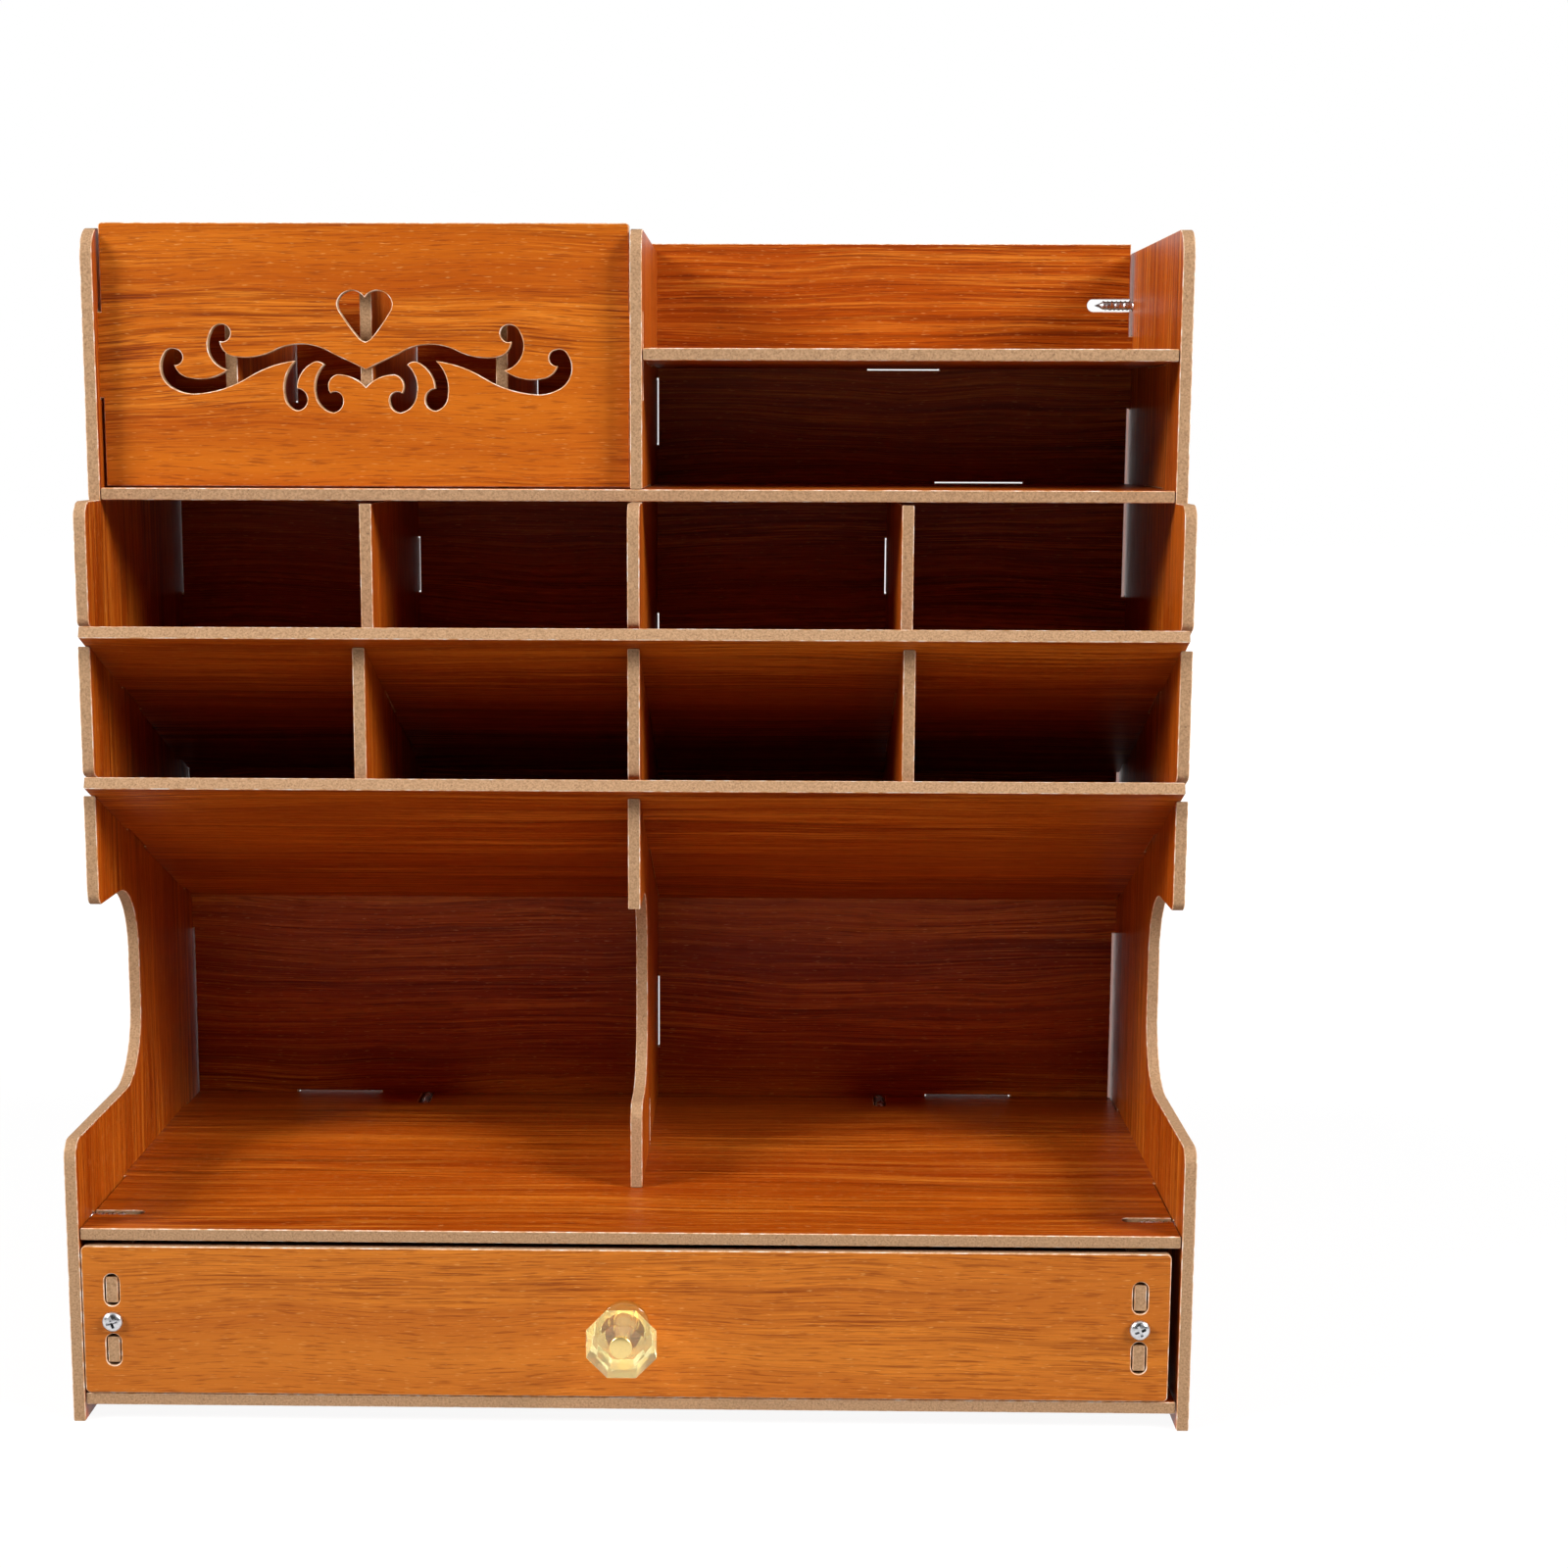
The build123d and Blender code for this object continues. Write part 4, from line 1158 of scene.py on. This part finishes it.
def set_world(settings):
    """Surround the object with white, less bright in front, and a low light from all round."""
    world = bpy.data.worlds.new("studio")
    bpy.context.scene.world = world
    world.use_nodes = True
    tree = world.node_tree
    tree.nodes.clear()
    direction = add_node(tree, "ShaderNodeTexCoord").outputs["Generated"]
    split = add_node(tree, "ShaderNodeSeparateXYZ")
    feed(tree, split, Vector=direction)
    room = level(tree, split.outputs["Y"], ROOM_DARK, ROOM_WHITE, settings.room_grey, 1.0)
    path = add_node(tree, "ShaderNodeLightPath").outputs
    clear = math_of(tree, "MAXIMUM", path["Is Camera Ray"], path["Is Transmission Ray"])
    brightness = math_of(tree, "MAXIMUM", room, clear)
    strength = add_node(tree, "ShaderNodeMix", data_type="FLOAT")
    feed(tree, strength, Factor=seen_white(tree), A=settings.ambient, B=brightness)
    background = add_node(tree, "ShaderNodeBackground")
    feed(tree, background, Color=(1.0, 1.0, 1.0, 1.0), Strength=strength.outputs["Result"])
    output = add_node(tree, "ShaderNodeOutputWorld")
    tree.links.new(background.outputs["Background"], output.inputs["Surface"])


def set_lamp(name, place, aim, size, power):
    """Hang a soft rectangular lamp at a place, turn it to its aim and return its object."""
    lamp = bpy.data.lights.new(name, "AREA")
    lamp.shape = "RECTANGLE"
    lamp.size, lamp.size_y = size
    lamp.energy = power
    holder = bpy.data.objects.new(name, lamp)
    holder.location = place
    holder.rotation_euler = (Vector(aim) - Vector(place)).to_track_quat("-Z", "Y").to_euler()
    bpy.context.scene.collection.objects.link(holder)
    return holder


def set_lamps(settings):
    """Hang all lamps, turned to the middle of the object."""
    middle = (cad_low + cad_high) / 2
    holders = {}
    for name, (place, size, power) in LAMPS.items():
        holders[name] = set_lamp(name, place, middle, size, getattr(settings, power))

    # The rear lamp is low enough to be mirrored in the boards, so gloss doesn't see it
    holders["rear_lamp"].visible_glossy = False


def set_camera(settings):
    """Stand the camera where it sees the object as the photograph does."""
    data = bpy.data.cameras.new("camera")
    data.lens = settings.camera_lens
    data.shift_x, data.shift_y = settings.camera_shift
    data.clip_start = CLIP_START
    data.clip_end = CLIP_END
    camera = bpy.data.objects.new("camera", data)
    bpy.context.scene.collection.objects.link(camera)
    camera.matrix_world = (
        Matrix.Translation(settings.camera_place)
        @ Matrix.Rotation(settings.camera_yaw, 4, "Z")
        @ Matrix.Rotation(math.pi / 2 - settings.camera_pitch, 4, "X")
        @ Matrix.Rotation(settings.camera_roll, 4, "Z")
    )
    bpy.context.scene.camera = camera


class ORGANIZER_OT_stage(bpy.types.Operator):
    """Set the floor, the studio light and the camera"""

    bl_idname = "organizer.stage"
    bl_label = "Stage"

    def execute(self, context):
        """Lay the floor and set world, lamps and camera."""
        settings = context.scene.organizer_stage
        context.scene.view_settings.view_transform = "Standard"
        set_floor(settings)
        set_world(settings)
        set_lamps(settings)
        set_camera(settings)
        return {"FINISHED"}


OPERATORS = (
    ORGANIZER_OT_cabinet_boards,
    ORGANIZER_OT_heart_panel,
    ORGANIZER_OT_drawer_boards,
    ORGANIZER_OT_screws,
    ORGANIZER_OT_knob,
    ORGANIZER_OT_stage,
)


class ORGANIZER_PT_looks(bpy.types.Panel):
    """List of the organizer's groups of pieces"""

    bl_idname = "ORGANIZER_PT_looks"
    bl_label = "Desk organizer"
    bl_space_type = "VIEW_3D"
    bl_region_type = "UI"
    bl_category = "Organizer"

    def draw(self, context):
        """Draw one button for each operator."""
        for operator in OPERATORS:
            self.layout.operator(operator.bl_idname)


GROUPS = {
    "organizer_boards": BoardFinish,
    "organizer_screws": ScrewSizes,
    "organizer_knob": KnobFinish,
    "organizer_stage": StageSettings,
}


def register():
    """Register the classes and hang the settings on the scene."""
    for group in GROUPS.values():
        bpy.utils.register_class(group)
    for name, group in GROUPS.items():
        setattr(bpy.types.Scene, name, PointerProperty(type=group))
    for operator in OPERATORS:
        bpy.utils.register_class(operator)
    bpy.utils.register_class(ORGANIZER_PT_looks)


def unregister():
    """Take the settings and the classes away again."""
    bpy.utils.unregister_class(ORGANIZER_PT_looks)
    for operator in reversed(OPERATORS):
        bpy.utils.unregister_class(operator)
    for name, group in GROUPS.items():
        delattr(bpy.types.Scene, name)
        bpy.utils.unregister_class(group)


def main():
    """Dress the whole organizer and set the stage."""
    register()
    bpy.ops.organizer.cabinet_boards()
    bpy.ops.organizer.heart_panel()
    bpy.ops.organizer.drawer_boards()
    bpy.ops.organizer.screws()
    bpy.ops.organizer.knob()
    bpy.ops.organizer.stage()


if __name__ == "__main__":
    main()
